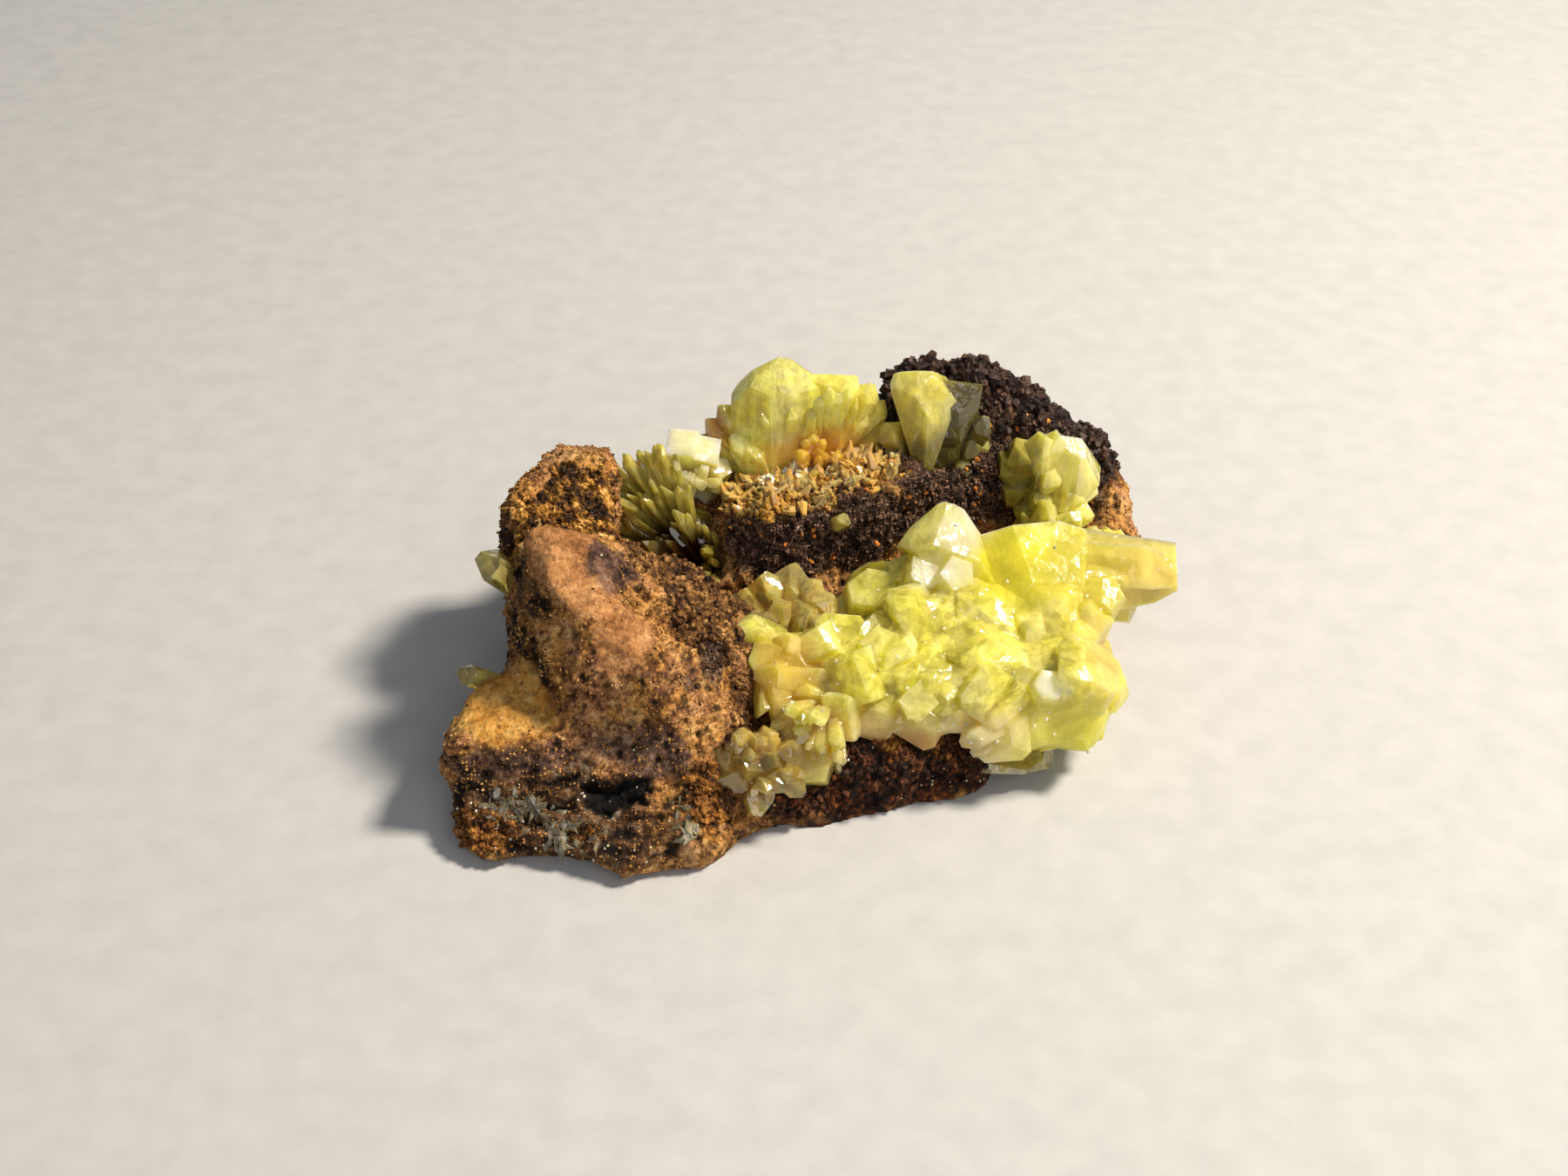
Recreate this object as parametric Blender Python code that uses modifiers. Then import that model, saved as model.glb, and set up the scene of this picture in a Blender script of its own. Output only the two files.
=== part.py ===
"""Adamite crystals on a limonite matrix: a mineral specimen about 50 mm across.

The matrix is one lump of rusty limonite, knocked off a vein with a hammer. It has a high blunt lump on
the left, a thin slab to the front and right, a terrace at the back with a dark cliff towards the front,
and a botryoidal rim of goethite round the back right corner. The adamite grew on it in groups. Each
group is one solid, because its crystals grew into each other, and each could be pried off the matrix.

Every length below is in millimetres and becomes metres through MM. +Z is up, and the origin is the
centre of the footprint, on the surface that the stone lies on. +X is the right-hand end, with the
crystal prong, and -Y is the front, with the big crystal bank.
"""

import math
import random

import bmesh
import bpy
from mathutils import Euler, Matrix, Vector, noise

MM = 0.001

# Driving sizes of the matrix.
REMESH_VOXEL = 0.75
MATRIX_TRIANGLES = 2800
ROUGH_COARSE = 1.1
ROUGH_FINE = 0.45
COARSE_GRAIN = 7.0
FINE_GRAIN = 2.2
BASE_CUT = 0.6

# The gap between a crystal group and what it grew on, and how finely the cutters that make it follow.
SEAT_GAP = 0.55
ROCK_SEAT = (0.8, 2200)
CRYSTAL_SEAT = (0.5, 1000)

# Shape of a single adamite crystal: the share of its half width trimmed off at each long edge, how much
# it narrows to its root in degrees, the share of its length where that begins, and how far from the
# middle of its end the hips start, as a share of its half thickness.
EDGE_TRIM = 0.34
ROOT_TAPER = 9.0
TAPER_FROM = 0.75
HIP_FROM = 0.35

# How high the crystals that reach the resting surface are worn off.
FLOOR_WEAR = 0.2

# Plain colours of the finishes, and what they share.

CLEAR_LIME = (0.62, 0.66, 0.10)
CLOUDY_LIME = (0.72, 0.76, 0.16)
OLIVE = (0.36, 0.36, 0.07)
PALE = (0.66, 0.70, 0.42)
RUST = (0.27, 0.12, 0.045)
ADAMITE_IOR = 1.72


def clear_scene():
    for obj in list(bpy.data.objects):
        bpy.data.objects.remove(obj)


def new_collection(name):
    collection = bpy.data.collections.new(name)
    bpy.context.scene.collection.children.link(collection)
    return collection


def principled(name, colour, roughness, transmission=0.0, ior=1.5):
    """A material with one plain finish."""
    material = bpy.data.materials.new(name)
    material.use_nodes = True
    shader = material.node_tree.nodes["Principled BSDF"]
    shader.inputs["Base Color"].default_value = (*colour, 1.0)
    shader.inputs["Roughness"].default_value = roughness
    shader.inputs["Metallic"].default_value = 0.0
    shader.inputs["Transmission Weight"].default_value = transmission
    shader.inputs["IOR"].default_value = ior
    return material


def object_from(bm, name, collection):
    """Puts a bmesh in a new object, with its faces pointing out."""
    bmesh.ops.recalc_face_normals(bm, faces=bm.faces)
    mesh = bpy.data.meshes.new(name)
    bm.to_mesh(mesh)
    bm.free()
    obj = bpy.data.objects.new(name, mesh)
    collection.objects.link(obj)
    return obj


def apply_modifiers(obj):
    """Makes what the modifiers show the object's own mesh."""
    bpy.context.view_layer.update()
    graph = bpy.context.evaluated_depsgraph_get()
    mesh = bpy.data.meshes.new_from_object(obj.evaluated_get(graph))
    obj.modifiers.clear()
    old = obj.data
    obj.data = mesh
    bpy.data.meshes.remove(old)


def trim(bm, point, normal):
    """Cuts away what lies beyond a plane and closes the cut with one face."""
    geometry = bm.verts[:] + bm.edges[:] + bm.faces[:]
    cut = bmesh.ops.bisect_plane(
        bm, geom=geometry, plane_co=point, plane_no=normal, clear_outer=True
    )
    edges = [part for part in cut["geom_cut"] if isinstance(part, bmesh.types.BMEdge)]
    if len(edges) > 2:
        bmesh.ops.contextual_create(bm, geom=edges)


# ---------------------------------------------------------------- matrix


def add_block(bm, centre, size, turn=(0, 0, 0), chips=()):
    """A broken block of rock. Each chip is a direction and the share of the half size left along it."""
    block = bmesh.new()
    bmesh.ops.create_cube(block, size=1.0)
    half = Vector(size) / 2
    bmesh.ops.scale(block, vec=size, verts=block.verts)
    for towards, share in chips:
        normal = Vector(towards).normalized()
        reach = sum(abs(normal[axis]) * half[axis] for axis in range(3))
        trim(block, normal * reach * share, normal)
    rotation = Euler([math.radians(angle) for angle in turn]).to_matrix().to_4x4()
    place = Matrix.Translation(centre) @ rotation
    bmesh.ops.transform(block, matrix=Matrix.Scale(MM, 4) @ place, verts=block.verts)
    bmesh.ops.recalc_face_normals(block, faces=block.faces)
    merge(bm, block)


def add_hull(bm, corners):
    """A block broken along flat faces, given by its corners."""
    block = bmesh.new()
    for corner in corners:
        block.verts.new(Vector(corner) * MM)
    hull = bmesh.ops.convex_hull(block, input=block.verts)
    inside = [part for part in hull["geom_interior"] if isinstance(part, bmesh.types.BMVert)]
    bmesh.ops.delete(block, geom=inside, context="VERTS")
    bmesh.ops.recalc_face_normals(block, faces=block.faces)
    merge(bm, block)


def add_knob(bm, centre, radii):
    """A rounded botryoidal knob, or a hollow's cutter."""
    knob = bmesh.new()
    bmesh.ops.create_icosphere(knob, subdivisions=3, radius=1.0)
    bmesh.ops.scale(knob, vec=radii, verts=knob.verts)
    place = Matrix.Scale(MM, 4) @ Matrix.Translation(centre)
    bmesh.ops.transform(knob, matrix=place, verts=knob.verts)
    merge(bm, knob)


def merge(bm, other):
    """Moves one bmesh's geometry into another."""
    mesh = bpy.data.meshes.new("passing")
    other.to_mesh(mesh)
    other.free()
    bm.from_mesh(mesh)
    bpy.data.meshes.remove(mesh)


def matrix_blocks():
    """The overlapping blocks that make the lump, the slab, the terrace and the rim."""
    bm = bmesh.new()
    # High blunt lump on the left: a sloping top facet, and a steep ribbed face to the left of it.
    add_hull(
        bm,
        [
            (-18.4, -3.8, 18.0), (-12.0, -4.0, 16.0), (-12.8, -10.4, 14.8), (-16.4, -9.2, 16.4),
            (-20.8, -4.0, 13.0), (-20.2, -7.0, 7.0), (-17.0, -11.4, 7.0), (-12.4, 1.4, 12.6),
            (-19.8, 0.6, 12.0), (-20.8, -1.0, 0.0), (-12.0, 1.0, 0.0), (-20.0, -10.0, 0.0),
            (-12.0, -11.0, 0.0),
        ],
    )
    # Its front shoulder, which slopes down to the right edge and to the broken foot.
    add_hull(
        bm,
        [
            (-13.2, -10.6, 14.4), (-12.0, -4.0, 15.4), (-10.2, -11.6, 11.6), (-7.2, -14.4, 8.4),
            (-3.8, -10.2, 8.8), (-3.4, -4.4, 9.4), (-17.8, -14.0, 4.6), (-7.6, -16.6, 3.8),
            (-3.8, -13.0, 4.4), (-16.0, -6.0, 0.0), (-4.0, -5.0, 0.0), (-17.0, -14.0, 0.0),
            (-4.4, -13.6, 0.0),
        ],
    )
    # The near side of the vug, between the lump's top and the bank.
    add_hull(
        bm,
        [
            (-12.2, -4.0, 15.2), (-11.6, 0.0, 13.0), (-9.0, 0.6, 11.6), (-6.6, 1.4, 10.2),
            (-3.6, -2.4, 9.0), (-4.2, -6.0, 9.0), (-12.6, 1.8, 6.0), (-6.0, 1.4, 4.0),
            (-12.0, -6.0, 4.0), (-4.0, -6.0, 4.0),
        ],
    )
    # Ledge low on the left, above the glassy broken foot.
    add_hull(
        bm,
        [
            (-23.8, -13.6, 7.8), (-16.8, -14.2, 7.4), (-16.6, -10.0, 8.6), (-19.0, -6.4, 9.2),
            (-21.8, -8.2, 8.2), (-25.0, -12.8, 4.2), (-22.8, -8.0, 3.0), (-23.4, -14.0, 1.6),
            (-16.0, -14.0, 0.0), (-22.4, -6.6, 0.0), (-22.0, -11.6, 0.0),
        ],
    )
    add_hull(
        bm,
        [
            (-23.2, -13.6, 5.2), (-17.6, -14.2, 4.8), (-8.0, -16.4, 4.4), (-5.0, -15.2, 3.0),
            (-22.2, -18.2, 1.8), (-16.0, -17.8, 2.0), (-10.6, -19.4, 1.8), (-7.2, -17.8, 1.6),
            (-4.6, -15.4, 0.8), (-24.0, -14.2, 2.4), (-20.6, -16.8, -0.2), (-9.4, -17.6, -0.2),
            (-20.0, -10.0, -1.0), (-8.0, -10.0, -1.0), (-18.0, -15.0, -1.0), (-9.0, -15.4, -1.0),
        ],
    )
    # Block at the back left, a little lower than the lump, with a roof that falls to the front.
    add_hull(
        bm,
        [
            (-20.8, 3.2, 16.0), (-16.8, 6.8, 17.0), (-14.2, 6.4, 16.4), (-13.2, 2.4, 13.2),
            (-18.8, 1.2, 15.2), (-21.2, 1.2, 11.4), (-19.2, -1.2, 11.4), (-13.4, -1.2, 11.4),
            (-14.8, 9.6, 14.0), (-19.4, 9.2, 13.6), (-20.8, -1.0, 0.0), (-12.4, -1.0, 0.0),
            (-13.2, 10.0, 0.0), (-20.6, 9.2, 0.0), (-21.6, 3.0, 7.0),
        ],
    )
    # Slab under the crystal bank, undercut along its front edge.
    add_block(
        bm, (0.5, -6.2, 1.8), (25.0, 14.6, 5.6), (-3, 2, 12),
        [((0.3, -0.9, -0.6), 0.78), ((0.2, -0.9, 0.7), 0.84), ((0.9, -0.6, -0.2), 0.80)],
    )
    add_block(
        bm, (8.8, 4.8, 2.4), (23.0, 15.4, 6.2), (0, -3, 12),
        [((0.8, -0.6, -0.3), 0.74), ((0.7, 0.7, 0.2), 0.82), ((0.4, -0.8, 0.6), 0.78)],
    )
    add_block(bm, (-8.0, 3.0, 2.6), (18.0, 14.0, 6.0), (0, 0, 5))
    # Terrace at the back. Its dark cliff faces the front, and climbs to the rim on the right.
    add_hull(
        bm,
        [
            (-5.8, 3.0, 12.4), (-1.8, 4.4, 13.2), (1.9, 5.8, 13.4), (5.2, 6.8, 13.4),
            (7.6, 7.6, 13.4), (-5.0, 8.4, 11.6), (6.6, 10.6, 10.6), (-5.8, 14.6, 10.4),
            (6.6, 16.8, 10.2), (-5.8, 2.2, 0.0), (9.0, 4.2, 0.0), (-5.6, 15.0, 0.0),
            (8.0, 18.0, 0.0),
        ],
    )
    add_hull(
        bm,
        [
            (6.4, 7.2, 13.2), (9.4, 8.4, 12.8), (11.8, 9.4, 13.4), (6.6, 8.8, 10.6),
            (10.6, 10.6, 11.0), (7.6, 4.6, 0.0), (13.0, 7.0, 0.0), (8.0, 11.0, 0.0),
            (12.4, 10.6, 0.0),
        ],
    )
    add_hull(
        bm,
        [
            (11.2, 9.4, 13.0), (12.6, 10.8, 14.8), (13.8, 12.8, 16.4), (12.2, 13.4, 16.0),
            (11.2, 11.2, 13.6), (14.4, 10.4, 9.6), (14.8, 12.8, 11.0), (10.8, 9.2, 0.0),
            (16.4, 9.0, 0.0), (16.0, 13.0, 0.0), (10.6, 12.0, 0.0),
        ],
    )
    add_block(bm, (-9.5, 11.6, 4.8), (12.0, 7.0, 9.6), (0, 6, -14), [((-0.6, 0.8, 0.3), 0.80)])
    # Botryoidal rim, an arc of knobs from behind the peak group round to the right-hand end.
    for centre, radii in (
        ((8.6, 16.4, 13.6), (3.4, 2.2, 4.2)),
        ((12.0, 15.8, 13.6), (3.2, 2.6, 4.4)),
        ((14.8, 14.8, 13.0), (3.2, 2.8, 4.2)),
        ((17.4, 14.4, 11.6), (2.8, 2.6, 3.9)),
        ((19.8, 14.0, 9.8), (2.4, 2.4, 3.6)),
        ((21.4, 12.4, 6.4), (2.6, 3.0, 4.4)),
        ((22.4, 10.0, 5.0), (2.2, 3.0, 3.8)),
        ((13.0, 12.6, 8.0), (2.4, 3.2, 6.4)),
        ((12.0, 14.6, 6.4), (7.0, 3.4, 6.4)),
    ):
        add_knob(bm, centre, radii)
    return bm


def hollow_cutters():
    """What is missing from the lump: the vug, the trough before the cliff and the niche on the left."""
    bm = bmesh.new()
    for centre, radii in (
        ((-9.4, 4.4, 10.0), (3.4, 3.2, 5.4)),
        ((-6.6, 3.6, 11.6), (3.0, 2.6, 4.6)),
        ((2.4, 0.6, 10.6), (10.0, 3.8, 4.4)),
        ((8.2, 12.2, 14.4), (3.0, 2.6, 4.6)),
        ((-21.4, 0.0, 15.4), (3.0, 1.8, 3.4)),
    ):
        add_knob(bm, centre, radii)
    return bm


def roughen(obj, strength, grain, seed):
    """Pushes each vertex along its normal by smooth noise, as broken gossan is uneven."""
    bm = bmesh.new()
    bm.from_mesh(obj.data)
    bm.normal_update()
    shift = Vector((seed, -seed, 0.5 * seed))
    for vertex in bm.verts:
        place = vertex.co / (grain * MM) + shift
        push = noise.fractal(place, 0.8, 2.1, 3, noise_basis="PERLIN_ORIGINAL")
        vertex.co += vertex.normal * push * strength * MM
    bm.to_mesh(obj.data)
    bm.free()


def remesh(obj, voxel):
    """Fuses overlapping shells into one skin."""
    modifier = obj.modifiers.new("Fuse", "REMESH")
    modifier.mode = "VOXEL"
    modifier.voxel_size = voxel * MM
    apply_modifiers(obj)


def reduce_to(obj, triangles):
    """Thins a skin to about this many triangles."""
    obj.data.calc_loop_triangles()
    modifier = obj.modifiers.new("Thin", "DECIMATE")
    modifier.ratio = min(1.0, triangles / len(obj.data.loop_triangles))
    modifier.use_collapse_triangulate = True
    apply_modifiers(obj)


def flatten_base(obj):
    """Cuts the underside off level, which leaves the flat patch that the stone lies on."""
    bm = bmesh.new()
    bm.from_mesh(obj.data)
    trim_open(bm, Vector((0, 0, BASE_CUT * MM)), Vector((0, 0, -1)))
    bmesh.ops.translate(bm, vec=(0, 0, -BASE_CUT * MM), verts=bm.verts)
    bm.to_mesh(obj.data)
    bm.free()


def trim_open(bm, point, normal):
    """As trim, for a cut that may leave several separate patches."""
    geometry = bm.verts[:] + bm.edges[:] + bm.faces[:]
    cut = bmesh.ops.bisect_plane(
        bm, geom=geometry, plane_co=point, plane_no=normal, clear_outer=True
    )
    edges = [part for part in cut["geom_cut"] if isinstance(part, bmesh.types.BMEdge)]
    bmesh.ops.holes_fill(bm, edges=edges)
    bmesh.ops.triangulate(bm, faces=[face for face in bm.faces if len(face.verts) > 4])


def build_matrix(collection, cutters):
    matrix = object_from(matrix_blocks(), "limonite_matrix", collection)
    remesh(matrix, REMESH_VOXEL)
    hollows = object_from(hollow_cutters(), "hollow_cutters", cutters)
    remesh(hollows, REMESH_VOXEL)
    cut = matrix.modifiers.new("Hollows", "BOOLEAN")
    cut.operation = "DIFFERENCE"
    cut.object = hollows
    apply_modifiers(matrix)
    bpy.data.objects.remove(hollows)
    smooth = matrix.modifiers.new("Wear", "SMOOTH")
    smooth.factor = 0.5
    smooth.iterations = 2
    apply_modifiers(matrix)
    roughen(matrix, ROUGH_COARSE, COARSE_GRAIN, 3.1)
    roughen(matrix, ROUGH_FINE, FINE_GRAIN, 8.7)
    remesh(matrix, REMESH_VOXEL)
    reduce_to(matrix, MATRIX_TRIANGLES)
    flatten_base(matrix)
    matrix.data.materials.append(principled("rusty_limonite", RUST, 0.85))
    return matrix


# ---------------------------------------------------------------- crystals


def add_crystal(bm, root, tip, width, thick, roll=0.0, roof=48.0, hip=62.0, lean=0.0):
    """One adamite crystal from root to tip: a trimmed prism, narrower at its root, under a gabled roof.

    roof and hip are the slopes of the two pairs of end faces, in degrees from level, lean moves the
    ridge sideways by a share of the half width, and roll turns the crystal about its length.
    """
    crystal = bmesh.new()
    bmesh.ops.create_cube(crystal, size=1.0)
    start, end = Vector(root), Vector(tip)
    length = (end - start).length
    bmesh.ops.scale(crystal, vec=(width, thick, length), verts=crystal.verts)
    bmesh.ops.translate(crystal, vec=(0, 0, length / 2), verts=crystal.verts)
    half, deep = width / 2, thick / 2
    taper = math.radians(ROOT_TAPER)
    for side in (-1, 1):
        for face in (-1, 1):
            corner = Vector((side * half * (1 - EDGE_TRIM), face * deep, 0))
            trim(crystal, corner, Vector((side * thick, face * width, 0)).normalized())
        slope = math.radians(roof)
        ridge = Vector((lean * half, 0, length))
        trim(crystal, ridge, Vector((side * math.sin(slope), 0, math.cos(slope))))
        slope = math.radians(hip)
        eaves = Vector((0, side * deep * HIP_FROM, length))
        trim(crystal, eaves, Vector((0, side * math.sin(slope), math.cos(slope))))
        shoulder = Vector((side * half, 0, length * TAPER_FROM))
        trim(crystal, shoulder, Vector((side * math.cos(taper), 0, -math.sin(taper))))
    turn = (end - start).to_track_quat("Z", "Y").to_matrix().to_4x4()
    place = Matrix.Translation(start) @ turn @ Matrix.Rotation(math.radians(roll), 4, "Z")
    bmesh.ops.transform(crystal, matrix=Matrix.Scale(MM, 4) @ place, verts=crystal.verts)
    bmesh.ops.recalc_face_normals(crystal, faces=crystal.faces)
    merge(bm, crystal)


def direction(azimuth, elevation):
    """A unit vector. Azimuth turns from +X towards +Y, and elevation is above level, in degrees."""
    turn, rise = math.radians(azimuth), math.radians(elevation)
    level = math.cos(rise)
    return Vector((level * math.cos(turn), level * math.sin(turn), math.sin(rise)))


class Group:
    """A crystal group being grown: separate shells, later joined into one solid."""

    def __init__(self, seed):
        self.shells = []
        self.random = random.Random(seed)

    def heart(self, centre, radii):
        """The massive root zone that the crystals of a group share."""
        bm = bmesh.new()
        bmesh.ops.create_icosphere(bm, subdivisions=2, radius=1.0)
        bmesh.ops.scale(bm, vec=radii, verts=bm.verts)
        place = Matrix.Scale(MM, 4) @ Matrix.Translation(centre)
        bmesh.ops.transform(bm, matrix=place, verts=bm.verts)
        self.shells.append(bm)

    def crystal(self, root, tip, width, thick, **shape):
        bm = bmesh.new()
        add_crystal(bm, root, tip, width, thick, **shape)
        self.shells.append(bm)

    def spray(self, root, azimuth, elevation, length, width, jitter=8.0):
        """One crystal of a fan, a little off the given direction and size."""
        spread = self.random.uniform
        way = direction(azimuth + spread(-jitter, jitter), elevation + spread(-jitter, jitter))
        reach = length * spread(0.9, 1.1)
        wide = width * spread(0.85, 1.15)
        self.crystal(
            root, Vector(root) + way * reach, wide, wide * spread(0.6, 0.9),
            roll=spread(0, 180), roof=spread(40, 54), hip=spread(56, 70), lean=spread(-0.4, 0.4),
        )

    def joined(self, name, collection, seats, material):
        """The group as one solid, cut to sit on the rock and beside its neighbours with a small gap."""
        first, *rest = self.shells
        obj = object_from(first, name, collection)
        shells = [object_from(shell, f"{name}_shell", collection) for shell in rest]
        for shell in shells:
            boolean(obj, "UNION", shell)
        for seat in seats:
            boolean(obj, "DIFFERENCE", seat)
        apply_modifiers(obj)
        for shell in shells:
            bpy.data.objects.remove(shell)
        keep_largest_body(obj)
        trim_floor(obj)
        obj.data.materials.clear()
        obj.data.materials.append(material)
        return obj


def boolean(obj, operation, other):
    """Adds one Boolean. Crystals share many nearly level faces, and only MANIFOLD joins them cleanly."""
    modifier = obj.modifiers.new(operation.title(), "BOOLEAN")
    modifier.operation = operation
    modifier.solver = "MANIFOLD"
    modifier.object = other


def keep_largest_body(obj):
    """Drops chips that the seat's cut left loose, and the skin of any hole shut inside the group."""
    bm = bmesh.new()
    bm.from_mesh(obj.data)
    unseen, bodies = set(bm.faces), []
    while unseen:
        start = min(unseen, key=lambda face: face.index)
        reached, front = {start}, [start]
        while front:
            near = {face for edge in front.pop().edges for face in edge.link_faces} - reached
            reached |= near
            front.extend(near)
        unseen -= reached
        bodies.append(reached)
    bodies.sort(key=lambda faces: sum(face.calc_area() for face in faces))
    loose = [face for body in bodies[:-1] for face in body]
    bmesh.ops.delete(bm, geom=loose, context="FACES")
    bm.to_mesh(obj.data)
    bm.free()


def trim_floor(obj):
    """Crystals that reach the resting surface are worn level with it."""
    if min(vertex.co.z for vertex in obj.data.vertices) > 0:
        return
    bm = bmesh.new()
    bm.from_mesh(obj.data)
    trim_open(bm, Vector((0, 0, FLOOR_WEAR * MM)), Vector((0, 0, -1)))
    bm.to_mesh(obj.data)
    bm.free()


def front_bank():
    """The big cloudy lime bank: crystals radiate from a buried spine, with a few large ones on top."""
    group = Group(seed=11)
    left, right = Vector((-2.4, -6.6, 3.8)), Vector((16.4, -3.0, 5.0))
    stations = 7
    for station in range(stations):
        share = station / (stations - 1)
        root = left.lerp(right, share)
        length = 6.8 + 1.8 * share
        group.heart(root, (4.2, 4.8 + 0.8 * share, 4.4 + share))
        for elevation in (-2, 22, 46, 72, 100)[: 3 if share > 0.7 else 5]:
            group.spray(root, 276 + 8 * share, elevation, length, 3.8 + share)
    # Large block at the upper right, with a nearly level ridge.
    group.crystal((15.2, 0.4, 4.6), (15.6, -0.4, 14.6), 6.6, 8.0, roll=96, roof=44, hip=72)
    group.crystal((16.2, -1.6, 5.0), (16.6, -3.8, 12.6), 6.4, 6.0, roll=72, roof=46)
    group.crystal((12.6, -2.0, 4.6), (12.4, -3.6, 11.8), 4.4, 4.0, roll=50, roof=44)
    # Tent-shaped crystal at the back, and the pair below it.
    group.crystal((7.8, 0.6, 4.4), (9.2, 2.0, 14.9), 5.2, 4.8, roll=32, roof=46, hip=48)
    group.crystal((7.0, 0.0, 4.2), (7.4, -0.4, 11.6), 3.4, 3.2, roll=20, roof=56)
    group.crystal((9.0, -1.0, 4.2), (10.0, -1.6, 11.8), 3.6, 3.2, roll=24, roof=56)
    # Low crystals at the back edge of the bank, over the trough.
    for root, tip, width in (
        ((3.6, -1.4, 3.8), (3.4, 1.8, 9.7), 3.2), ((4.8, -1.0, 3.8), (5.4, 2.2, 10.2), 3.4),
        ((1.8, -2.0, 3.8), (1.6, 0.0, 8.8), 2.8),
    ):
        group.crystal(root, tip, width, width * 0.8, roll=30, roof=40)
    # Rounded boulder of crystals low on the right.
    group.heart((16.8, -6.4, 5.0), (4.6, 4.2, 4.6))
    for azimuth, elevation in ((245, 8), (285, -14), (318, 4), (300, 40), (345, 22), (262, 50)):
        group.spray((16.4, -5.6, 4.8), azimuth, elevation, 5.4, 4.8)
    # Prong: slim honey crystals, side by side, pointing out to the right.
    for offset, length, width in (
        ((0, 0, 0.2), 7.6, 3.2), ((0.2, -1.8, -1.0), 7.2, 2.6), ((-0.4, 1.2, -1.0), 6.2, 2.8),
        ((0.2, -0.4, -1.8), 7.4, 2.8), ((-0.6, -2.2, 0.6), 5.0, 2.6),
    ):
        group.spray(Vector((17.4, 1.0, 9.8)) + Vector(offset), 2, 6, length, width, jitter=4)
    group.heart((17.2, 0.0, 8.0), (3.2, 3.4, 3.8))
    return group


def bank_edge_group():
    """Clearer olive crystals between the trough and the left end of the bank."""
    group = Group(seed=23)
    group.heart((-3.8, -0.8, 6.2), (3.2, 1.8, 2.0))
    for azimuth, elevation, length in (
        (190, 40, 4.4), (240, 50, 4.4), (60, 66, 4.6), (20, 40, 5.0), (350, 56, 5.0), (120, 60, 4.0),
    ):
        group.spray((-3.4, -0.8, 6.0), azimuth, elevation, length, 3.0)
    group.crystal((-2.6, -0.6, 6.0), (-1.4, 0.8, 10.9), 3.6, 2.4, roll=30)
    return group


def low_corner_group():
    """Small clear crystals that hang over the slab at the bank's lower left end."""
    group = Group(seed=31)
    group.heart((-3.4, -13.4, 4.4), (3.0, 2.2, 2.6))
    for azimuth, elevation in (
        (225, 10), (255, -20), (280, 10), (310, -8), (245, 44), (290, 44), (200, 30),
    ):
        group.spray((-3.4, -13.2, 4.4), azimuth, elevation, 3.9, 2.5)
    return group


def back_fan():
    """The tall fan at the back: broad blades that rise from one root on the terrace."""
    group = Group(seed=41)
    group.heart((-1.4, 11.6, 11.4), (4.4, 2.2, 2.4))
    for root, tip, width, thick, roll in (
        ((-1.8, 11.0, 10.2), (-2.0, 12.2, 20.6), 5.4, 3.4, 6),
        ((-2.4, 11.4, 10.2), (-3.9, 12.4, 19.4), 4.2, 3.2, -8),
        ((-1.2, 11.4, 10.2), (-0.1, 12.4, 19.2), 4.0, 3.2, 14),
        ((-2.8, 11.6, 10.2), (-5.5, 12.6, 17.4), 3.8, 3.0, -18),
        ((0.2, 11.6, 10.4), (2.1, 12.7, 18.8), 3.2, 2.6, 10),
        ((0.8, 11.6, 10.4), (3.6, 12.7, 17.9), 2.8, 2.4, 22),
        ((1.4, 11.6, 10.4), (5.0, 12.6, 16.7), 2.6, 2.2, 30),
        ((-3.4, 11.8, 10.2), (-7.2, 12.8, 15.2), 3.2, 2.6, -24),
        ((1.6, 11.4, 10.2), (5.9, 11.8, 14.6), 2.4, 2.2, 36),
    ):
        group.crystal(root, tip, width, thick, roll=roll, roof=38, hip=58)
    for azimuth, elevation, length in (
        (262, 66, 6.2), (285, 50, 5.2), (240, 48, 4.8), (310, 58, 5.2), (275, 30, 3.8), (225, 62, 5.0),
    ):
        group.spray((-0.4, 11.0, 10.8), azimuth, elevation, length, 2.4)
    return group


def peak_group():
    """The second tall group, in front of the goethite rim."""
    group = Group(seed=53)
    group.heart((9.0, 11.8, 11.0), (2.6, 1.9, 2.8))
    for root, tip, width, thick, roll in (
        ((9.2, 11.2, 9.0), (8.0, 12.2, 19.0), 4.8, 3.8, 14),
        ((9.0, 11.2, 9.0), (6.4, 12.0, 17.8), 3.6, 3.0, -10),
        ((9.6, 11.4, 9.0), (10.2, 12.6, 18.0), 3.8, 3.2, 24),
        ((9.8, 11.4, 9.0), (12.0, 12.4, 16.8), 3.4, 2.8, 30),
        ((9.8, 11.2, 9.2), (12.8, 11.6, 14.4), 3.0, 2.4, 12),
        ((9.0, 11.0, 9.2), (5.4, 11.2, 14.8), 3.2, 2.4, -16),
    ):
        group.crystal(root, tip, width, thick, roll=roll, roof=42, hip=56)
    for azimuth, elevation in ((262, 66), (235, 54), (290, 60)):
        group.spray((9.2, 10.8, 9.4), azimuth, elevation, 5.4, 2.4)
    return group


def rim_group():
    """The yellow-green group under the rim at the back right, and its small feet."""
    group = Group(seed=61)
    group.heart((17.0, 10.8, 9.4), (3.4, 2.6, 3.2))
    for azimuth, elevation, length in (
        (235, 62, 5.4), (265, 52, 5.2), (215, 42, 4.6), (300, 52, 5.6), (340, 44, 5.6),
        (290, 76, 5.4), (200, 66, 4.8), (255, 22, 4.4), (300, 20, 4.8), (225, 8, 4.2), (330, 14, 4.6),
    ):
        group.spray((17.0, 10.6, 8.8), azimuth, elevation, length, 3.2)
    group.crystal((17.4, 10.6, 8.6), (19.4, 10.8, 14.6), 4.4, 3.4, roll=8, roof=44)
    return group


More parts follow.
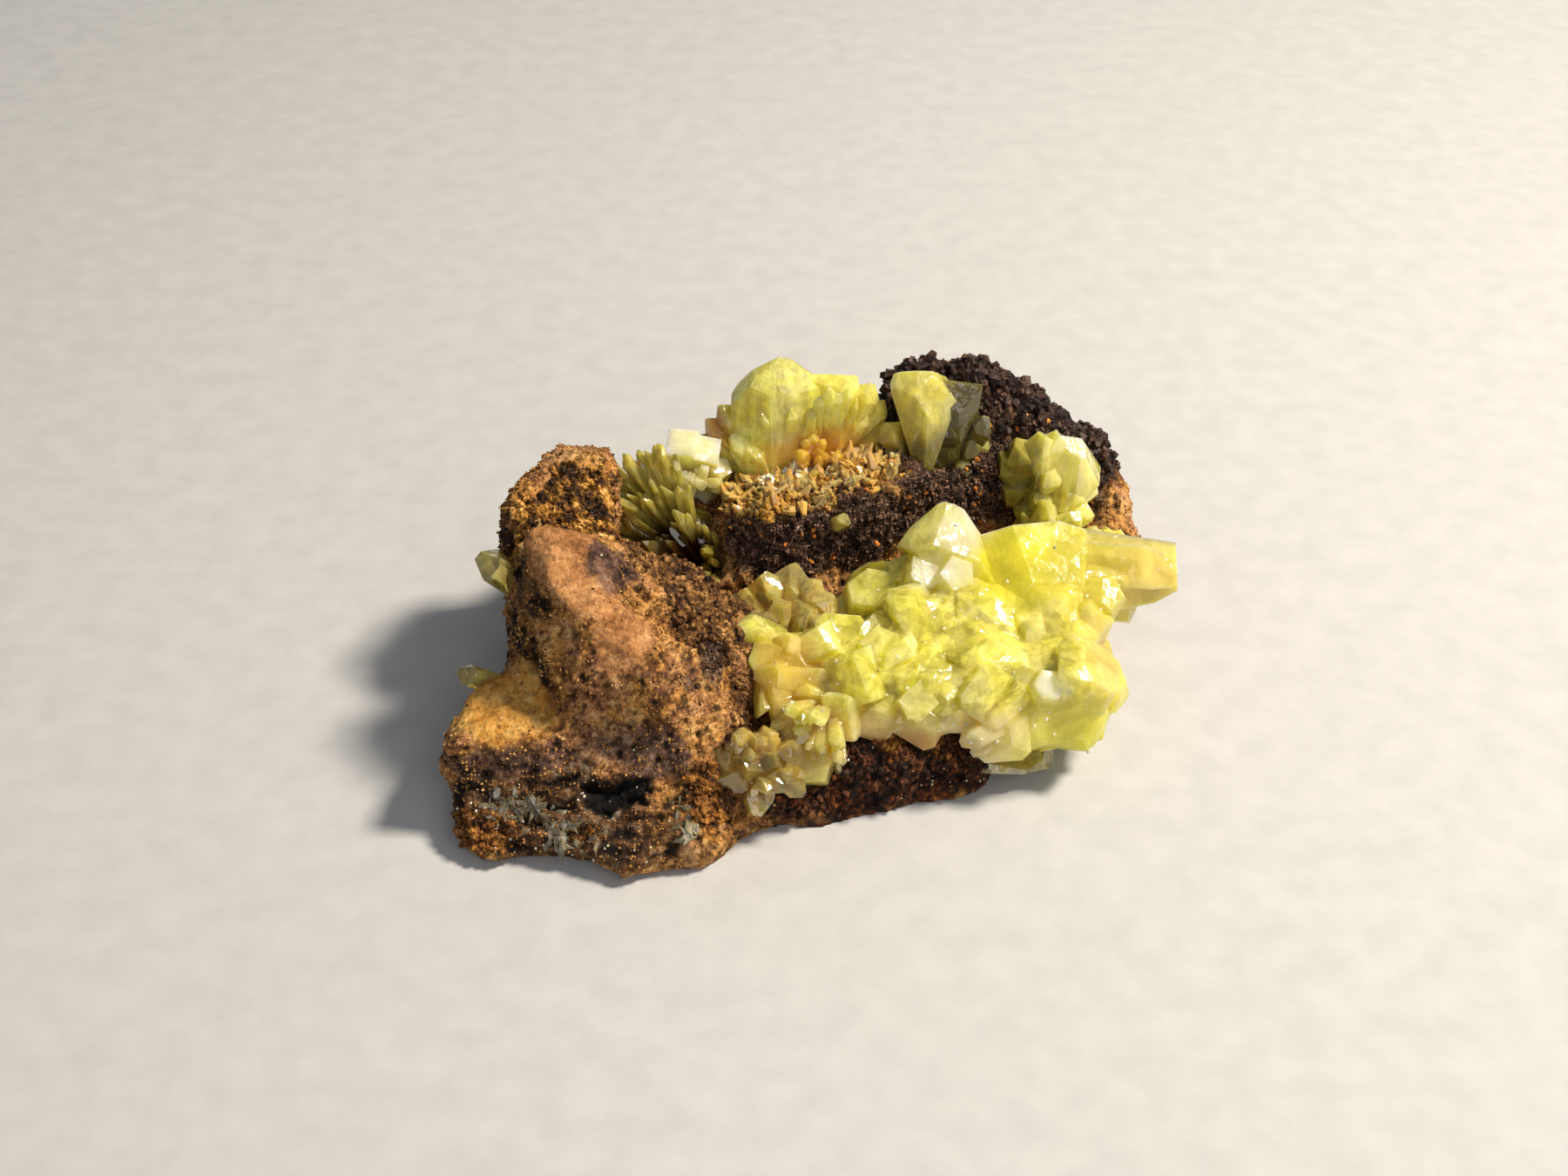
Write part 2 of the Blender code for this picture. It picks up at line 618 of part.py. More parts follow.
def foot_group():
    """Short crystals at the right-hand end, between the rim group and the prong."""
    group = Group(seed=67)
    group.heart((20.6, 7.0, 5.6), (2.6, 1.6, 2.0))
    for azimuth, elevation in ((235, 60), (280, 48), (330, 50), (10, 34), (200, 46), (310, 74)):
        group.spray((20.4, 6.8, 5.4), azimuth, elevation, 4.0, 2.4)
    return group


def left_spray():
    """Smoky olive blades on the far side of the vug, leaning back and to the left."""
    group = Group(seed=71)
    group.heart((-9.0, 9.4, 9.0), (4.0, 2.0, 2.4))
    for root, tip, width in (
        ((-10.6, 8.2, 6.6), (-13.4, 9.4, 14.2), 3.2),
        ((-9.8, 8.2, 6.6), (-11.6, 8.4, 14.4), 3.4),
        ((-9.2, 8.0, 6.4), (-9.6, 7.6, 13.4), 3.2),
        ((-8.0, 8.2, 6.4), (-7.6, 7.2, 12.6), 3.4),
        ((-7.0, 8.2, 6.2), (-5.8, 6.8, 11.4), 3.2),
        ((-10.2, 9.6, 6.6), (-12.6, 11.2, 13.2), 3.0),
        ((-11.0, 8.2, 7.0), (-14.4, 8.0, 11.8), 2.4),
        ((-8.6, 8.0, 6.2), (-9.4, 5.8, 10.0), 2.6),
        ((-7.4, 7.6, 5.4), (-5.6, 4.6, 9.6), 3.0),
        ((-8.2, 7.8, 5.0), (-7.2, 5.2, 9.0), 2.8),
        ((-10.6, 8.8, 6.4), (-12.4, 7.0, 12.2), 3.0),
    ):
        group.crystal(root, tip, width, width * 0.6, roll=group.random.uniform(-25, 25), roof=52)
    return group


def pale_blocks():
    """A few stubby pale crystals between the olive spray and the tall fan."""
    group = Group(seed=79)
    group.heart((-8.0, 11.8, 10.0), (2.4, 1.6, 2.2))
    group.crystal((-9.0, 11.6, 9.0), (-9.6, 10.9, 14.6), 2.8, 2.6, roll=20, roof=24, hip=30)
    group.crystal((-7.6, 11.6, 9.0), (-7.6, 11.0, 14.4), 2.8, 2.6, roll=36, roof=26, hip=32)
    group.crystal((-7.2, 10.8, 9.4), (-6.4, 9.6, 13.0), 2.4, 2.2, roll=50, roof=30)
    return group


def single(root, tip, width, thick, **shape):
    """A crystal that grew alone."""
    group = Group(seed=1)
    group.crystal(root, tip, width, thick, **shape)
    return group


def build_seat(obj, cutters, fineness):
    """A piece swollen by the gap, which cuts what grew against it."""
    voxel, triangles = fineness
    seat = bpy.data.objects.new(f"{obj.name}_seat", obj.data.copy())
    cutters.objects.link(seat)
    swell = seat.modifiers.new("Swell", "DISPLACE")
    swell.strength = SEAT_GAP * MM
    swell.mid_level = 0.0
    apply_modifiers(seat)
    remesh(seat, voxel)
    reduce_to(seat, triangles)
    return seat


def centre_footprint(collection):
    """Moves the specimen so that the middle of its footprint is the origin and its base is level 0."""
    points = [vertex.co for obj in collection.objects for vertex in obj.data.vertices]
    low = Vector([min(point[axis] for point in points) for axis in range(3)])
    high = Vector([max(point[axis] for point in points) for axis in range(3)])
    middle = (low + high) / 2
    move = Matrix.Translation((-middle.x, -middle.y, -low.z))
    for obj in collection.objects:
        obj.data.transform(move)


def main():
    clear_scene()
    specimen = new_collection("adamite_specimen")
    cutters = new_collection("cutters")
    matrix = build_matrix(specimen, cutters)
    seats = {"": build_seat(matrix, cutters, ROCK_SEAT)}
    lime = principled("cloudy_lime_adamite", CLOUDY_LIME, 0.12, 0.5, ADAMITE_IOR)
    clear = principled("clear_lime_adamite", CLEAR_LIME, 0.06, 0.9, ADAMITE_IOR)
    olive = principled("olive_adamite", OLIVE, 0.08, 0.9, ADAMITE_IOR)
    pale = principled("pale_adamite", PALE, 0.10, 0.8, ADAMITE_IOR)
    # Each group, and the earlier groups that it grew against.
    groups = (
        ("front_bank", front_bank(), lime, ()),
        ("back_fan", back_fan(), clear, ()),
        ("left_spray", left_spray(), olive, ()),
        ("bank_edge_group", bank_edge_group(), olive, ("front_bank",)),
        ("low_corner_group", low_corner_group(), olive, ("front_bank",)),
        ("peak_group", peak_group(), clear, ("back_fan",)),
        ("rim_group", rim_group(), clear, ()),
        ("foot_group", foot_group(), clear, ()),
        ("pale_blocks", pale_blocks(), pale, ("back_fan", "left_spray")),
        ("ridge_crystal", single((2.5, 6.4, 9.8), (2.0, 3.6, 11.6), 1.6, 1.4, roll=30), pale, ()),
        ("edge_crystal", single((-18.6, 0.6, 7.6), (-22.8, 0.8, 11.2), 2.4, 2.0, roll=20), pale, ()),
        ("ledge_crystal", single((-20.6, -6.4, 5.4), (-23.6, -7.0, 7.4), 1.7, 1.5, roll=35), pale, ()),
        (
            "under_blade", single((6.0, -7.4, 2.6), (15.4, -9.8, 1.4), 3.2, 1.2, roll=88), pale,
            ("front_bank",),
        ),
    )
    for name, group, material, neighbours in groups:
        cutting = [seats[neighbour] for neighbour in ("", *neighbours)]
        piece = group.joined(f"adamite_{name}", specimen, cutting, material)
        if name in ("front_bank", "back_fan", "left_spray"):
            seats[name] = build_seat(piece, cutters, CRYSTAL_SEAT)
    for seat in seats.values():
        bpy.data.objects.remove(seat)
    centre_footprint(specimen)


main()
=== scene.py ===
# %% [markdown]
# # Adamite on limonite, a mineral specimen
# Adamite is a zinc arsenate that grows as yellow-green glassy crystals in the hollows of limonite, the
# rusty rock that is left where iron ore weathers. The stone comes in as a plain CAD model, and each
# cell below gives one part of it the shape detail and the finish of the real mineral.

# %% Load the frame
import math
import random

import bmesh
import bpy
import numpy as np
from mathutils import Matrix, Vector, noise


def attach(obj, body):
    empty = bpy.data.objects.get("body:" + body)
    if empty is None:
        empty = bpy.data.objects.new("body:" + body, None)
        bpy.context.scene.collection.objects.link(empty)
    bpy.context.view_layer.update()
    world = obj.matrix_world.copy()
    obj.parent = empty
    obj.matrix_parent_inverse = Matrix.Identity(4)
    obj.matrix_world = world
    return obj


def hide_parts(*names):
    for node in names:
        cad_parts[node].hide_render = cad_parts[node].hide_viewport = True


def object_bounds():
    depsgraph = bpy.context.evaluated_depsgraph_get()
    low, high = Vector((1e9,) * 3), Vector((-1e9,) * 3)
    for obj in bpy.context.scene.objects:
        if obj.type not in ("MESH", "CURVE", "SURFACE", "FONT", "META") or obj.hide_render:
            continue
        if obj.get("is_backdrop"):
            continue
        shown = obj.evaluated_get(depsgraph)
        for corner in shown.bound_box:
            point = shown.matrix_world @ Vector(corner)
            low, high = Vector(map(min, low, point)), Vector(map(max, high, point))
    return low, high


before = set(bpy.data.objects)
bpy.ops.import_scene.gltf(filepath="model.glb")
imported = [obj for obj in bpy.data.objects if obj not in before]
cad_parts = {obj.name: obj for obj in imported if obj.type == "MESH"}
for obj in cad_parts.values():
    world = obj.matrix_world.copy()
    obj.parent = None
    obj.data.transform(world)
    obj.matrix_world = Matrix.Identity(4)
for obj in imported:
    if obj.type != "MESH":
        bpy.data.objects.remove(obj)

MM = 0.001
cad_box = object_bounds()
print("CAD nodes:", len(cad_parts))

# %% [markdown]
# ## Colours and nodes
# Colours are written as sRGB hex, as a paint program shows them, and Blender's sockets want linear
# light, so one function turns them. A second one adds a shader node with its settings and its links,
# which keeps a material down to a few readable lines. A third turns the width of a real grain into
# the Scale of a pattern. A Mix node has three inputs called A, so its colour sockets go by number.

# %% Helpers for materials
MIX_A, MIX_B, MIX_OUT = 6, 7, 2


def linear(hex_colour):
    """An sRGB hex colour as linear red, green, blue and alpha."""
    parts = [int(hex_colour[start:start + 2], 16) / 255 for start in (1, 3, 5)]
    return (*[part / 12.92 if part <= 0.04045 else ((part + 0.055) / 1.055) ** 2.4 for part in parts], 1.0)


def scale_for(width):
    """The Scale that makes the cells of a pattern this many mm wide."""
    return 1 / (width * MM)


def node(tree, kind, inputs=None, stops=None, **settings):
    """Adds a node. inputs are values or other nodes' outputs, stops are a ramp's places and colours."""
    made = tree.nodes.new(kind)
    for name, value in settings.items():
        setattr(made, name, value)
    for name, value in (inputs or {}).items():
        if isinstance(value, bpy.types.NodeSocket):
            tree.links.new(value, made.inputs[name])
        else:
            made.inputs[name].default_value = value
    if stops:
        ramp = made.color_ramp
        while len(ramp.elements) < len(stops):
            ramp.elements.new(0.5)
        for element, (place, colour) in zip(ramp.elements, stops):
            element.position, element.color = place, linear(colour)
    return made


def new_material(name):
    """An empty material and its node tree."""
    material = bpy.data.materials.new(name)
    material.use_nodes = True
    material.node_tree.nodes.clear()
    return material, material.node_tree


# %% [markdown]
# ## Camera
# The stone is seen from the front and from 38 degrees above level, so that its top and its cliff both
# show. A camera looks down its own Z axis, so it is tipped up from straight down by the rest of a
# right angle. A 50 mm lens is about what the eye sees, and doesn't stretch the near crystals.

# %% Camera
TARGET = Vector((-2.35, 0.31, 9.0)) * MM
VIEW_HEIGHT = math.radians(38)
VIEW_DISTANCE = 150 * MM
camera_data = bpy.data.cameras.new("camera")
camera_data.lens = 50
camera_data.sensor_width = 36
camera_data.clip_start = 0.005
camera = bpy.data.objects.new("camera", camera_data)
away = Vector((0, -math.cos(VIEW_HEIGHT), math.sin(VIEW_HEIGHT)))
camera.location = TARGET + away * VIEW_DISTANCE
camera.rotation_euler = (math.pi / 2 - VIEW_HEIGHT, 0, 0)
bpy.context.scene.collection.objects.link(camera)
bpy.context.scene.camera = camera
print("camera", [round(value / MM, 1) for value in camera.location], "mm")


# %% [markdown]
# ## Light
# The key light is a small soft box high on the right and a little behind, because clear crystals look
# alive only when light comes through them. A wide, weak soft box in front fills the shadows, and the
# world adds the faint blue-grey light of a room. Distances and sizes are in metres, as lamps have them.

# %% Light
def soft_box(name, towards, distance, size, power, colour):
    """A square area light that looks at the stone from a given side."""
    data = bpy.data.lights.new(name, "AREA")
    data.size = size
    data.energy = power
    data.color = linear(colour)[:3]
    light = bpy.data.objects.new(name, data)
    side = Vector(towards).normalized()
    light.location = side * distance
    light.rotation_euler = side.to_track_quat("Z", "Y").to_euler()
    bpy.context.scene.collection.objects.link(light)
    return light


soft_box("key", (0.60, 0.05, 0.80), distance=0.40, size=0.07, power=2.85, colour="#fff1dc")
soft_box("fill", (0.30, -0.80, 0.52), distance=0.50, size=0.40, power=0.80, colour="#fbf6f4")
world = bpy.data.worlds.new("studio")
bpy.context.scene.world = world
world.use_nodes = True
world.node_tree.nodes["Background"].inputs["Color"].default_value = linear("#dfe3e8")
world.node_tree.nodes["Background"].inputs["Strength"].default_value = 0.30
bpy.context.scene.view_settings.view_transform = "Standard"
print("lights:", [light.name for light in bpy.data.lights])

# %% [markdown]
# ## Floor
# Stones are shown on matt paper, which takes a soft shadow and no reflection. One large square is enough,
# and a faint noise, as wide as a paper fibre is long, keeps it from looking like a single flat colour.

# %% Floor
FLOOR_SIZE = 1.5
FIBRE_WIDTH = 2.5
floor_mesh = bpy.data.meshes.new("floor")
floor_shape = bmesh.new()
bmesh.ops.create_grid(floor_shape, x_segments=1, y_segments=1, size=FLOOR_SIZE)
floor_shape.to_mesh(floor_mesh)
floor_shape.free()
floor = bpy.data.objects.new("floor", floor_mesh)
bpy.context.scene.collection.objects.link(floor)
paper, tree = new_material("pale_paper")
place = node(tree, "ShaderNodeTexCoord").outputs["Object"]
fibre = node(tree, "ShaderNodeTexNoise", {"Vector": place, "Scale": scale_for(FIBRE_WIDTH), "Detail": 3.0})
greys = [(0.3, "#aeb0b2"), (0.7, "#b6b8ba")]
tint = node(tree, "ShaderNodeValToRGB", {"Fac": fibre.outputs["Fac"]}, stops=greys)
shader = node(tree, "ShaderNodeBsdfPrincipled", {"Base Color": tint.outputs["Color"], "Roughness": 0.9})
node(tree, "ShaderNodeOutputMaterial", {"Surface": shader.outputs["BSDF"]})
floor.data.materials.append(paper)
floor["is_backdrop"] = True
print("floor of", paper.name)

# %% [markdown]
# ## Getting from a mesh to a finished piece
# Three small jobs come back all the time. A bmesh becomes an object, modifiers are made permanent so
# that the mesh itself holds the real shape, and a finished piece gets its material and its place in the
# frame.
# Places are given in millimetres, from the point that the stone was drawn about.

# %% Helpers for pieces
DRAWN_ABOUT = Vector((-0.55, 0.31, 0.0))


def new_object(name, mesh):
    """The mesh as an object in the scene."""
    made = bpy.data.objects.new(name, mesh)
    bpy.context.scene.collection.objects.link(made)
    return made


def mesh_from(bm, name):
    """The bmesh as a mesh. The bmesh is used up."""
    mesh = bpy.data.meshes.new(name)
    bm.to_mesh(mesh)
    bm.free()
    return mesh


def make_permanent(made):
    """Puts what the modifiers show into the object's own mesh."""
    bpy.context.view_layer.update()
    graph = bpy.context.evaluated_depsgraph_get()
    mesh = bpy.data.meshes.new_from_object(made.evaluated_get(graph))
    made.modifiers.clear()
    made.data = mesh


def finish_piece(made, material, replaced=()):
    """Gives a piece its finish and its place in the frame."""
    made.data.materials.clear()
    made.data.materials.append(material)
    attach(made, "root")
    if replaced:
        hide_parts(*replaced)
    made.data.calc_loop_triangles()
    print(made.name, len(made.data.loop_triangles), "triangles")


# %% [markdown]
# ## The rock
# Limonite is a crust of iron hydroxides. Broken, it is lumpy at every scale from a centimetre down to
# a grain of sand. The CAD solid has the lumps, so a copy of it is rebuilt on a fine even grid, its
# flat facets are smoothed away, and then each vertex is pushed out or in by noise. Noise suits
# broken rock better than sculpting by hand, because each zone only needs its own grain size. The base
# isn't smoothed, because it has to stay flat on the floor.

# %% A fine skin over the rock
ROCK_VOXEL = 0.24 * MM
FACET_SMOOTHING = 1
WELD = 0.001 * MM
FLAT_BASE = 0.3 * MM


def fine_skin(name, voxel, rounds):
    """A copy of a CAD node on an even grid of small faces, with its facets smoothed."""
    bm = bmesh.new()
    bm.from_mesh(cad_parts[name].data)
    bmesh.ops.remove_doubles(bm, verts=bm.verts, dist=WELD)
    made = new_object("fine_" + name, mesh_from(bm, name))
    made.data.materials.clear()
    grid = made.modifiers.new("Grid", "REMESH")
    grid.mode = "VOXEL"
    grid.voxel_size = voxel
    make_permanent(made)
    bm = bmesh.new()
    bm.from_mesh(made.data)
    free = [vertex for vertex in bm.verts if vertex.co.z > FLAT_BASE]
    for _ in range(rounds):
        bmesh.ops.smooth_vert(bm, verts=free, factor=0.5, use_axis_x=True, use_axis_y=True, use_axis_z=True)
    bm.to_mesh(made.data)
    bm.free()
    return made


rock = fine_skin("limonite_matrix", ROCK_VOXEL, FACET_SMOOTHING)
print("rock skin:", len(rock.data.vertices), "vertices")

# %% [markdown]
# ## The skin as numbers
# What happens to the rock next is worked out vertex by vertex, and arrays do that for all of them at
# once. The places are read in millimetres. A zone is a few ellipsoids with a soft edge, and a noise
# about two millimetres wide tears that edge, because a border in nature is never smooth.

# %% Places, normals and soft zones
TORN_EDGE_WIDTH = 2.2
co = np.empty(len(rock.data.vertices) * 3)
rock.data.vertices.foreach_get("co", co)
spot = co.reshape(-1, 3) / MM - np.array(DRAWN_ABOUT)
normal = np.empty(len(spot) * 3)
rock.data.vertices.foreach_get("normal", normal)
normal = normal.reshape(-1, 3)
ragged = np.array([noise.fractal(Vector(point) / TORN_EDGE_WIDTH, 0.9, 2.1, 4) for point in spot])


def soft_step(value, low, high):
    """0 below low, 1 above high, and a smooth rise between."""
    share = np.clip((value - low) / (high - low), 0, 1)
    return share * share * (3 - 2 * share)


def zone(ellipsoids, edge=0.18, torn=0.25):
    """1 inside any of the ellipsoids (centre and radii in mm), and 0 outside, with a torn edge."""
    inside = np.zeros(len(spot))
    for centre, radii in ellipsoids:
        reach = np.linalg.norm((spot - centre) / radii, axis=1) + torn * ragged
        inside = np.maximum(inside, 1 - soft_step(reach, 1 - edge, 1 + edge))
    return inside


print("the skin reaches from", spot.min(axis=0).round(1), "to", spot.max(axis=0).round(1), "mm")

# %% [markdown]
# ## Zones of the rock
# A weathered rock has different crusts in different places: smooth sienna limonite on the top facet,
# yellow ochre dust on the ledge, black velvety goethite on the cliff and the rim, glassy streaks
# low on the broken front. Each zone is kept as a number from 0 to 1 at every vertex, so that both the
# relief and the colours can use it. Dust and sugar lie only on faces that look up, and ribs don't.

# %% Where each crust lies
facing_up = soft_step(normal[:, 2], 0.15, 0.5)
facing_front = soft_step(-normal[:, 1], 0.05, 0.4)
on_terrace = soft_step(spot[:, 1] - 4.6 - 0.45 * spot[:, 0] + 0.8 * ragged, -0.4, 0.6)
zones = {
    "goethite": zone(
        [
            ((-2.0, 4.6, 10.5), (4.6, 2.6, 4.4)), ((3.0, 5.6, 11.0), (5.0, 2.4, 4.2)),
            ((9.0, 8.6, 11.0), (4.6, 3.4, 4.6)), ((12.5, 12.0, 12.0), (3.4, 4.4, 6.0)),
            ((10.5, 16.4, 14.0), (6.0, 4.0, 6.0)), ((16.0, 15.0, 12.0), (5.0, 4.0, 6.0)),
            ((19.6, 14.0, 9.0), (3.4, 3.4, 5.0)), ((-7.2, -8.0, 7.8), (1.7, 3.4, 3.2)),
            ((-5.4, -11.5, 3.4), (1.8, 2.6, 2.8)),
        ]
    ),
    "druse": zone([((-0.6, 9.0, 12.4), (7.4, 5.4, 3.2))]) * facing_up * on_terrace,
    # The ribbed faces turn away from the light, and the colours of this zone are painted shade.
    "ribs": zone(
        [((-19.2, -6.8, 10.6), (3.6, 4.6, 5.4)), ((-20.0, 3.0, 12.4), (2.2, 3.8, 4.0))]
    ) * (1 - facing_up),
    "sienna": zone(
        [((-15.6, -6.2, 15.6), (3.6, 4.4, 2.6)), ((-12.2, -9.8, 12.4), (2.0, 2.4, 3.2))]
    ) * facing_up,
    "plum": zone(
        [
            ((-12.8, -4.6, 15.0), (1.9, 2.8, 1.8)), ((-19.0, -13.6, 5.0), (4.4, 1.6, 1.8)),
            ((-11.4, -14.0, 6.6), (3.6, 1.8, 1.6)), ((-9.2, -8.6, 9.2), (1.6, 3.4, 1.8)),
        ],
        torn=0.5,
    ),
    "ochre": zone([((-20.6, -10.4, 7.4), (3.8, 3.6, 1.8))]) * facing_up,
    "golden": zone([((-16.4, 2.6, 13.0), (3.8, 3.6, 3.4))], torn=0.4),
    "crumbly": zone(
        [
            ((-7.6, -4.0, 9.5), (4.6, 5.0, 3.6)), ((-4.6, -8.0, 4.4), (3.4, 6.0, 4.4)),
            ((-10.0, -1.0, 12.0), (3.0, 3.6, 3.0)),
        ]
    ),
    "glassy": zone([((-15.0, -15.4, 2.6), (7.6, 4.4, 2.6)), ((-21.8, -14.0, 2.6), (2.4, 3.4, 2.4))]),
    "slab": zone([((2.6, -11.0, 2.4), (9.0, 5.0, 3.6)), ((12.0, -8.0, 2.4), (6.0, 5.0, 3.0))]),
    "orange": zone(
        [
            ((7.0, -9.8, 5.0), (5.4, 2.6, 1.7)), ((-6.4, -15.6, 3.6), (1.9, 2.2, 2.4)),
            ((-21.6, -16.2, 1.6), (2.0, 1.6, 1.3)), ((-13.4, -16.6, 2.0), (1.8, 1.4, 0.9)),
        ],
        torn=0.5,
    ),
    "hollow": zone(
        [((-12.4, -15.5, 4.3), (2.1, 1.4, 0.9)), ((-10.9, -15.4, 3.7), (1.2, 1.1, 0.6))],
        torn=0.9,
    ),
}
zones["goethite"] = zones["goethite"] * (1 - zones["druse"])
print("vertices in each zone:", {name: int((value > 0.5).sum()) for name, value in zones.items()})

# %% [markdown]
# ## Three kinds of relief
# Broken rock has edges because every fragment left a flat face behind, and Voronoi cells, each with a
# plane of its own, give those faces. Grains are such cells made round, and a pit is the middle of one.
# Blender seeds its noise vectors by the clock, so they get a seed of their own here, and the stone is
# the same one every time.

# %% Grains, chips and pits
noise.seed_set(23)


def grains(point, size):
    """Rounded grains packed side by side: 1 at the middle of a grain and 0 in the seams."""
    near = noise.voronoi(Vector(point) / size)[0]
    return min(1.0, (near[1] - near[0]) * 1.6)


def chips(point, size):
    """Broken faces: every cell of the rock ends in a plane of its own slope, and they meet in edges."""
    scaled = Vector(point) / size
    planes = zip(*noise.voronoi(scaled))
    return min(noise.noise_vector(seed * 7.3).dot(scaled - seed) + 0.5 * far for far, seed in planes)


def pit(point, size):
    """1 at the middle of a small round hole, and 0 between the holes."""
    return max(0.0, 1 - noise.voronoi(Vector(point) / size)[0][0] / 0.45)


middle = spot[len(spot) // 2]
print("at one vertex:", [round(shape(middle, 1.0), 2) for shape in (grains, chips, pit)])

# %% [markdown]
# ## Pushing the skin
# Each zone mixes its own sizes: faces of three and one millimetres everywhere, grains and pits of about
# half a millimetre on top, lumps on the goethite, ribs that are drawn out upwards and streaks that lie
# level. The relief fades out towards the base. The fine part is kept as a number too, because the
# material paints shade into the seams between grains but leaves whole faces alone. All sizes are in
# millimetres.

# %% Relief of the rock
LARGE_FACE, SMALL_FACE, SWELLING = 2.9, 1.3, 3.1
FACE_HEIGHT, SMALL_FACE_HEIGHT, SWELLING_HEIGHT, HOLLOW_DEPTH = 1.1, 0.5, 0.12, 0.7
FINE_GRAIN, COARSE_GRAIN, PIT_SPACING, LUMP, SMALL_LUMP = 0.55, 1.0, 0.9, 1.7, 0.7
GRAIN_HEIGHT, COARSE_HEIGHT, PIT_DEPTH, LUMP_HEIGHT, SMALL_LUMP_HEIGHT = 0.14, 0.36, 0.35, 0.40, 0.16
RIB_STRETCH, RIB_HEIGHT = (0.9, 0.9, 0.16), 0.4
STREAK_STRETCH, STREAK_HEIGHT = (0.5, 1.2, 1.7), 0.6
BASE_FADE = (0.1, 1.2)
STORED_RANGE = 0.7
FAINT = 0.02

zones["even"] = 0.92 * zones["sienna"] + 0.85 * zones["ochre"]
broken, grain_relief = np.empty(len(spot)), np.empty(len(spot))
for index, point in enumerate(spot):
    here = {name: value[index] for name, value in zones.items()}
    rough = 1 - here["even"]
    faces = FACE_HEIGHT * (chips(point, LARGE_FACE) - 0.1) + SMALL_FACE_HEIGHT * chips(point, SMALL_FACE)
    swelling = SWELLING_HEIGHT * noise.fractal(Vector(point) / SWELLING, 0.8, 2.0, 3)
    broken[index] = faces * (0.35 + 0.65 * rough) + swelling - HOLLOW_DEPTH * here["hollow"]
    upright = (point[0], point[1], point[2] * (1 - 0.6 * here["ribs"]))
    push = GRAIN_HEIGHT * (grains(upright, FINE_GRAIN) - 0.5) - PIT_DEPTH * pit(upright, PIT_SPACING)
    push *= rough
    coarse = max(here["crumbly"], here["golden"] * 0.8, here["slab"], here["druse"], here["orange"])
    if coarse > FAINT:
        push += coarse * COARSE_HEIGHT * (grains(point, COARSE_GRAIN) - 0.5)
    if here["goethite"] > FAINT:
        lumps = LUMP_HEIGHT * (grains(point, LUMP) - 0.4) + SMALL_LUMP_HEIGHT * grains(point, SMALL_LUMP)
        push += here["goethite"] * lumps
    if here["ribs"] > FAINT:
        push += here["ribs"] * RIB_HEIGHT * noise.noise(Vector(point) * Vector(RIB_STRETCH))
    if here["glassy"] > FAINT:
        push += here["glassy"] * STREAK_HEIGHT * noise.noise(Vector(point) * Vector(STREAK_STRETCH))
    grain_relief[index] = push
level = soft_step(spot[:, 2], *BASE_FADE)
moved = spot + normal * ((broken + grain_relief) * level)[:, None]
moved[:, 2] = np.maximum(moved[:, 2], 0.0)
rock.data.vertices.foreach_set("co", ((moved + np.array(DRAWN_ABOUT)) * MM).ravel())
# The fine relief is stored for the painted shade in the seams.
zones["relief"] = np.clip(grain_relief / STORED_RANGE + 0.5, 0, 1)
for name, value in zones.items():
    rock.data.attributes.new(name, "FLOAT", "POINT").data.foreach_set("value", value)
rock.data.shade_smooth()
print("broken faces", broken.min().round(2), "to", broken.max().round(2), "mm")
print("grain", grain_relief.min().round(2), "to", grain_relief.max().round(2), "mm")

# %% [markdown]
# ## Limonite and goethite
# Limonite is earthy: it has no gloss, and its colour runs from chocolate through sienna to ochre from
# grain to grain. Goethite is the same iron hydroxide as tiny upright needles, and looks like black
# velvet with a purple cast. The tone of a spot adds up three patterns: blotches of three millimetres,
# speckles of half a millimetre and single grains a little finer. Each crust then has a ramp of its own
# colours from its darkest grain to its lightest, which all read the same tone. The ramps of the ribbed
# faces, of the slab and of the hollow also carry painted shade, so they run darker than their crust.

# %% Tone and colours of the crusts
BLOTCH_WIDTH, SPECKLE_WIDTH, GRAIN_WIDTH = 3.03, 0.588, 0.385
BLOTCH_SHARE, SPECKLE_SHARE, GRAIN_SHARE, TONE_SHIFT = 0.62, 0.42, 0.10, -0.06

limonite, tree = new_material("limonite_crust")
place = node(tree, "ShaderNodeTexCoord").outputs["Object"]
blotch = node(
    tree, "ShaderNodeTexNoise",
    {"Vector": place, "Scale": scale_for(BLOTCH_WIDTH), "Detail": 8.0, "Roughness": 0.72},
)
speckle = node(
    tree, "ShaderNodeTexNoise",
    {"Vector": place, "Scale": scale_for(SPECKLE_WIDTH), "Detail": 6.0, "Roughness": 0.8},
)
grain = node(tree, "ShaderNodeTexVoronoi", {"Vector": place, "Scale": scale_for(GRAIN_WIDTH)})
grain_tone = node(tree, "ShaderNodeSeparateColor", {"Color": grain.outputs["Color"]})
tone = TONE_SHIFT
for pattern, share in (
    (blotch.outputs["Fac"], BLOTCH_SHARE), (speckle.outputs["Fac"], SPECKLE_SHARE),
    (grain_tone.outputs[0], GRAIN_SHARE),
):
    tone = node(tree, "ShaderNodeMath", {0: pattern, 1: share, 2: tone}, operation="MULTIPLY_ADD").outputs[0]
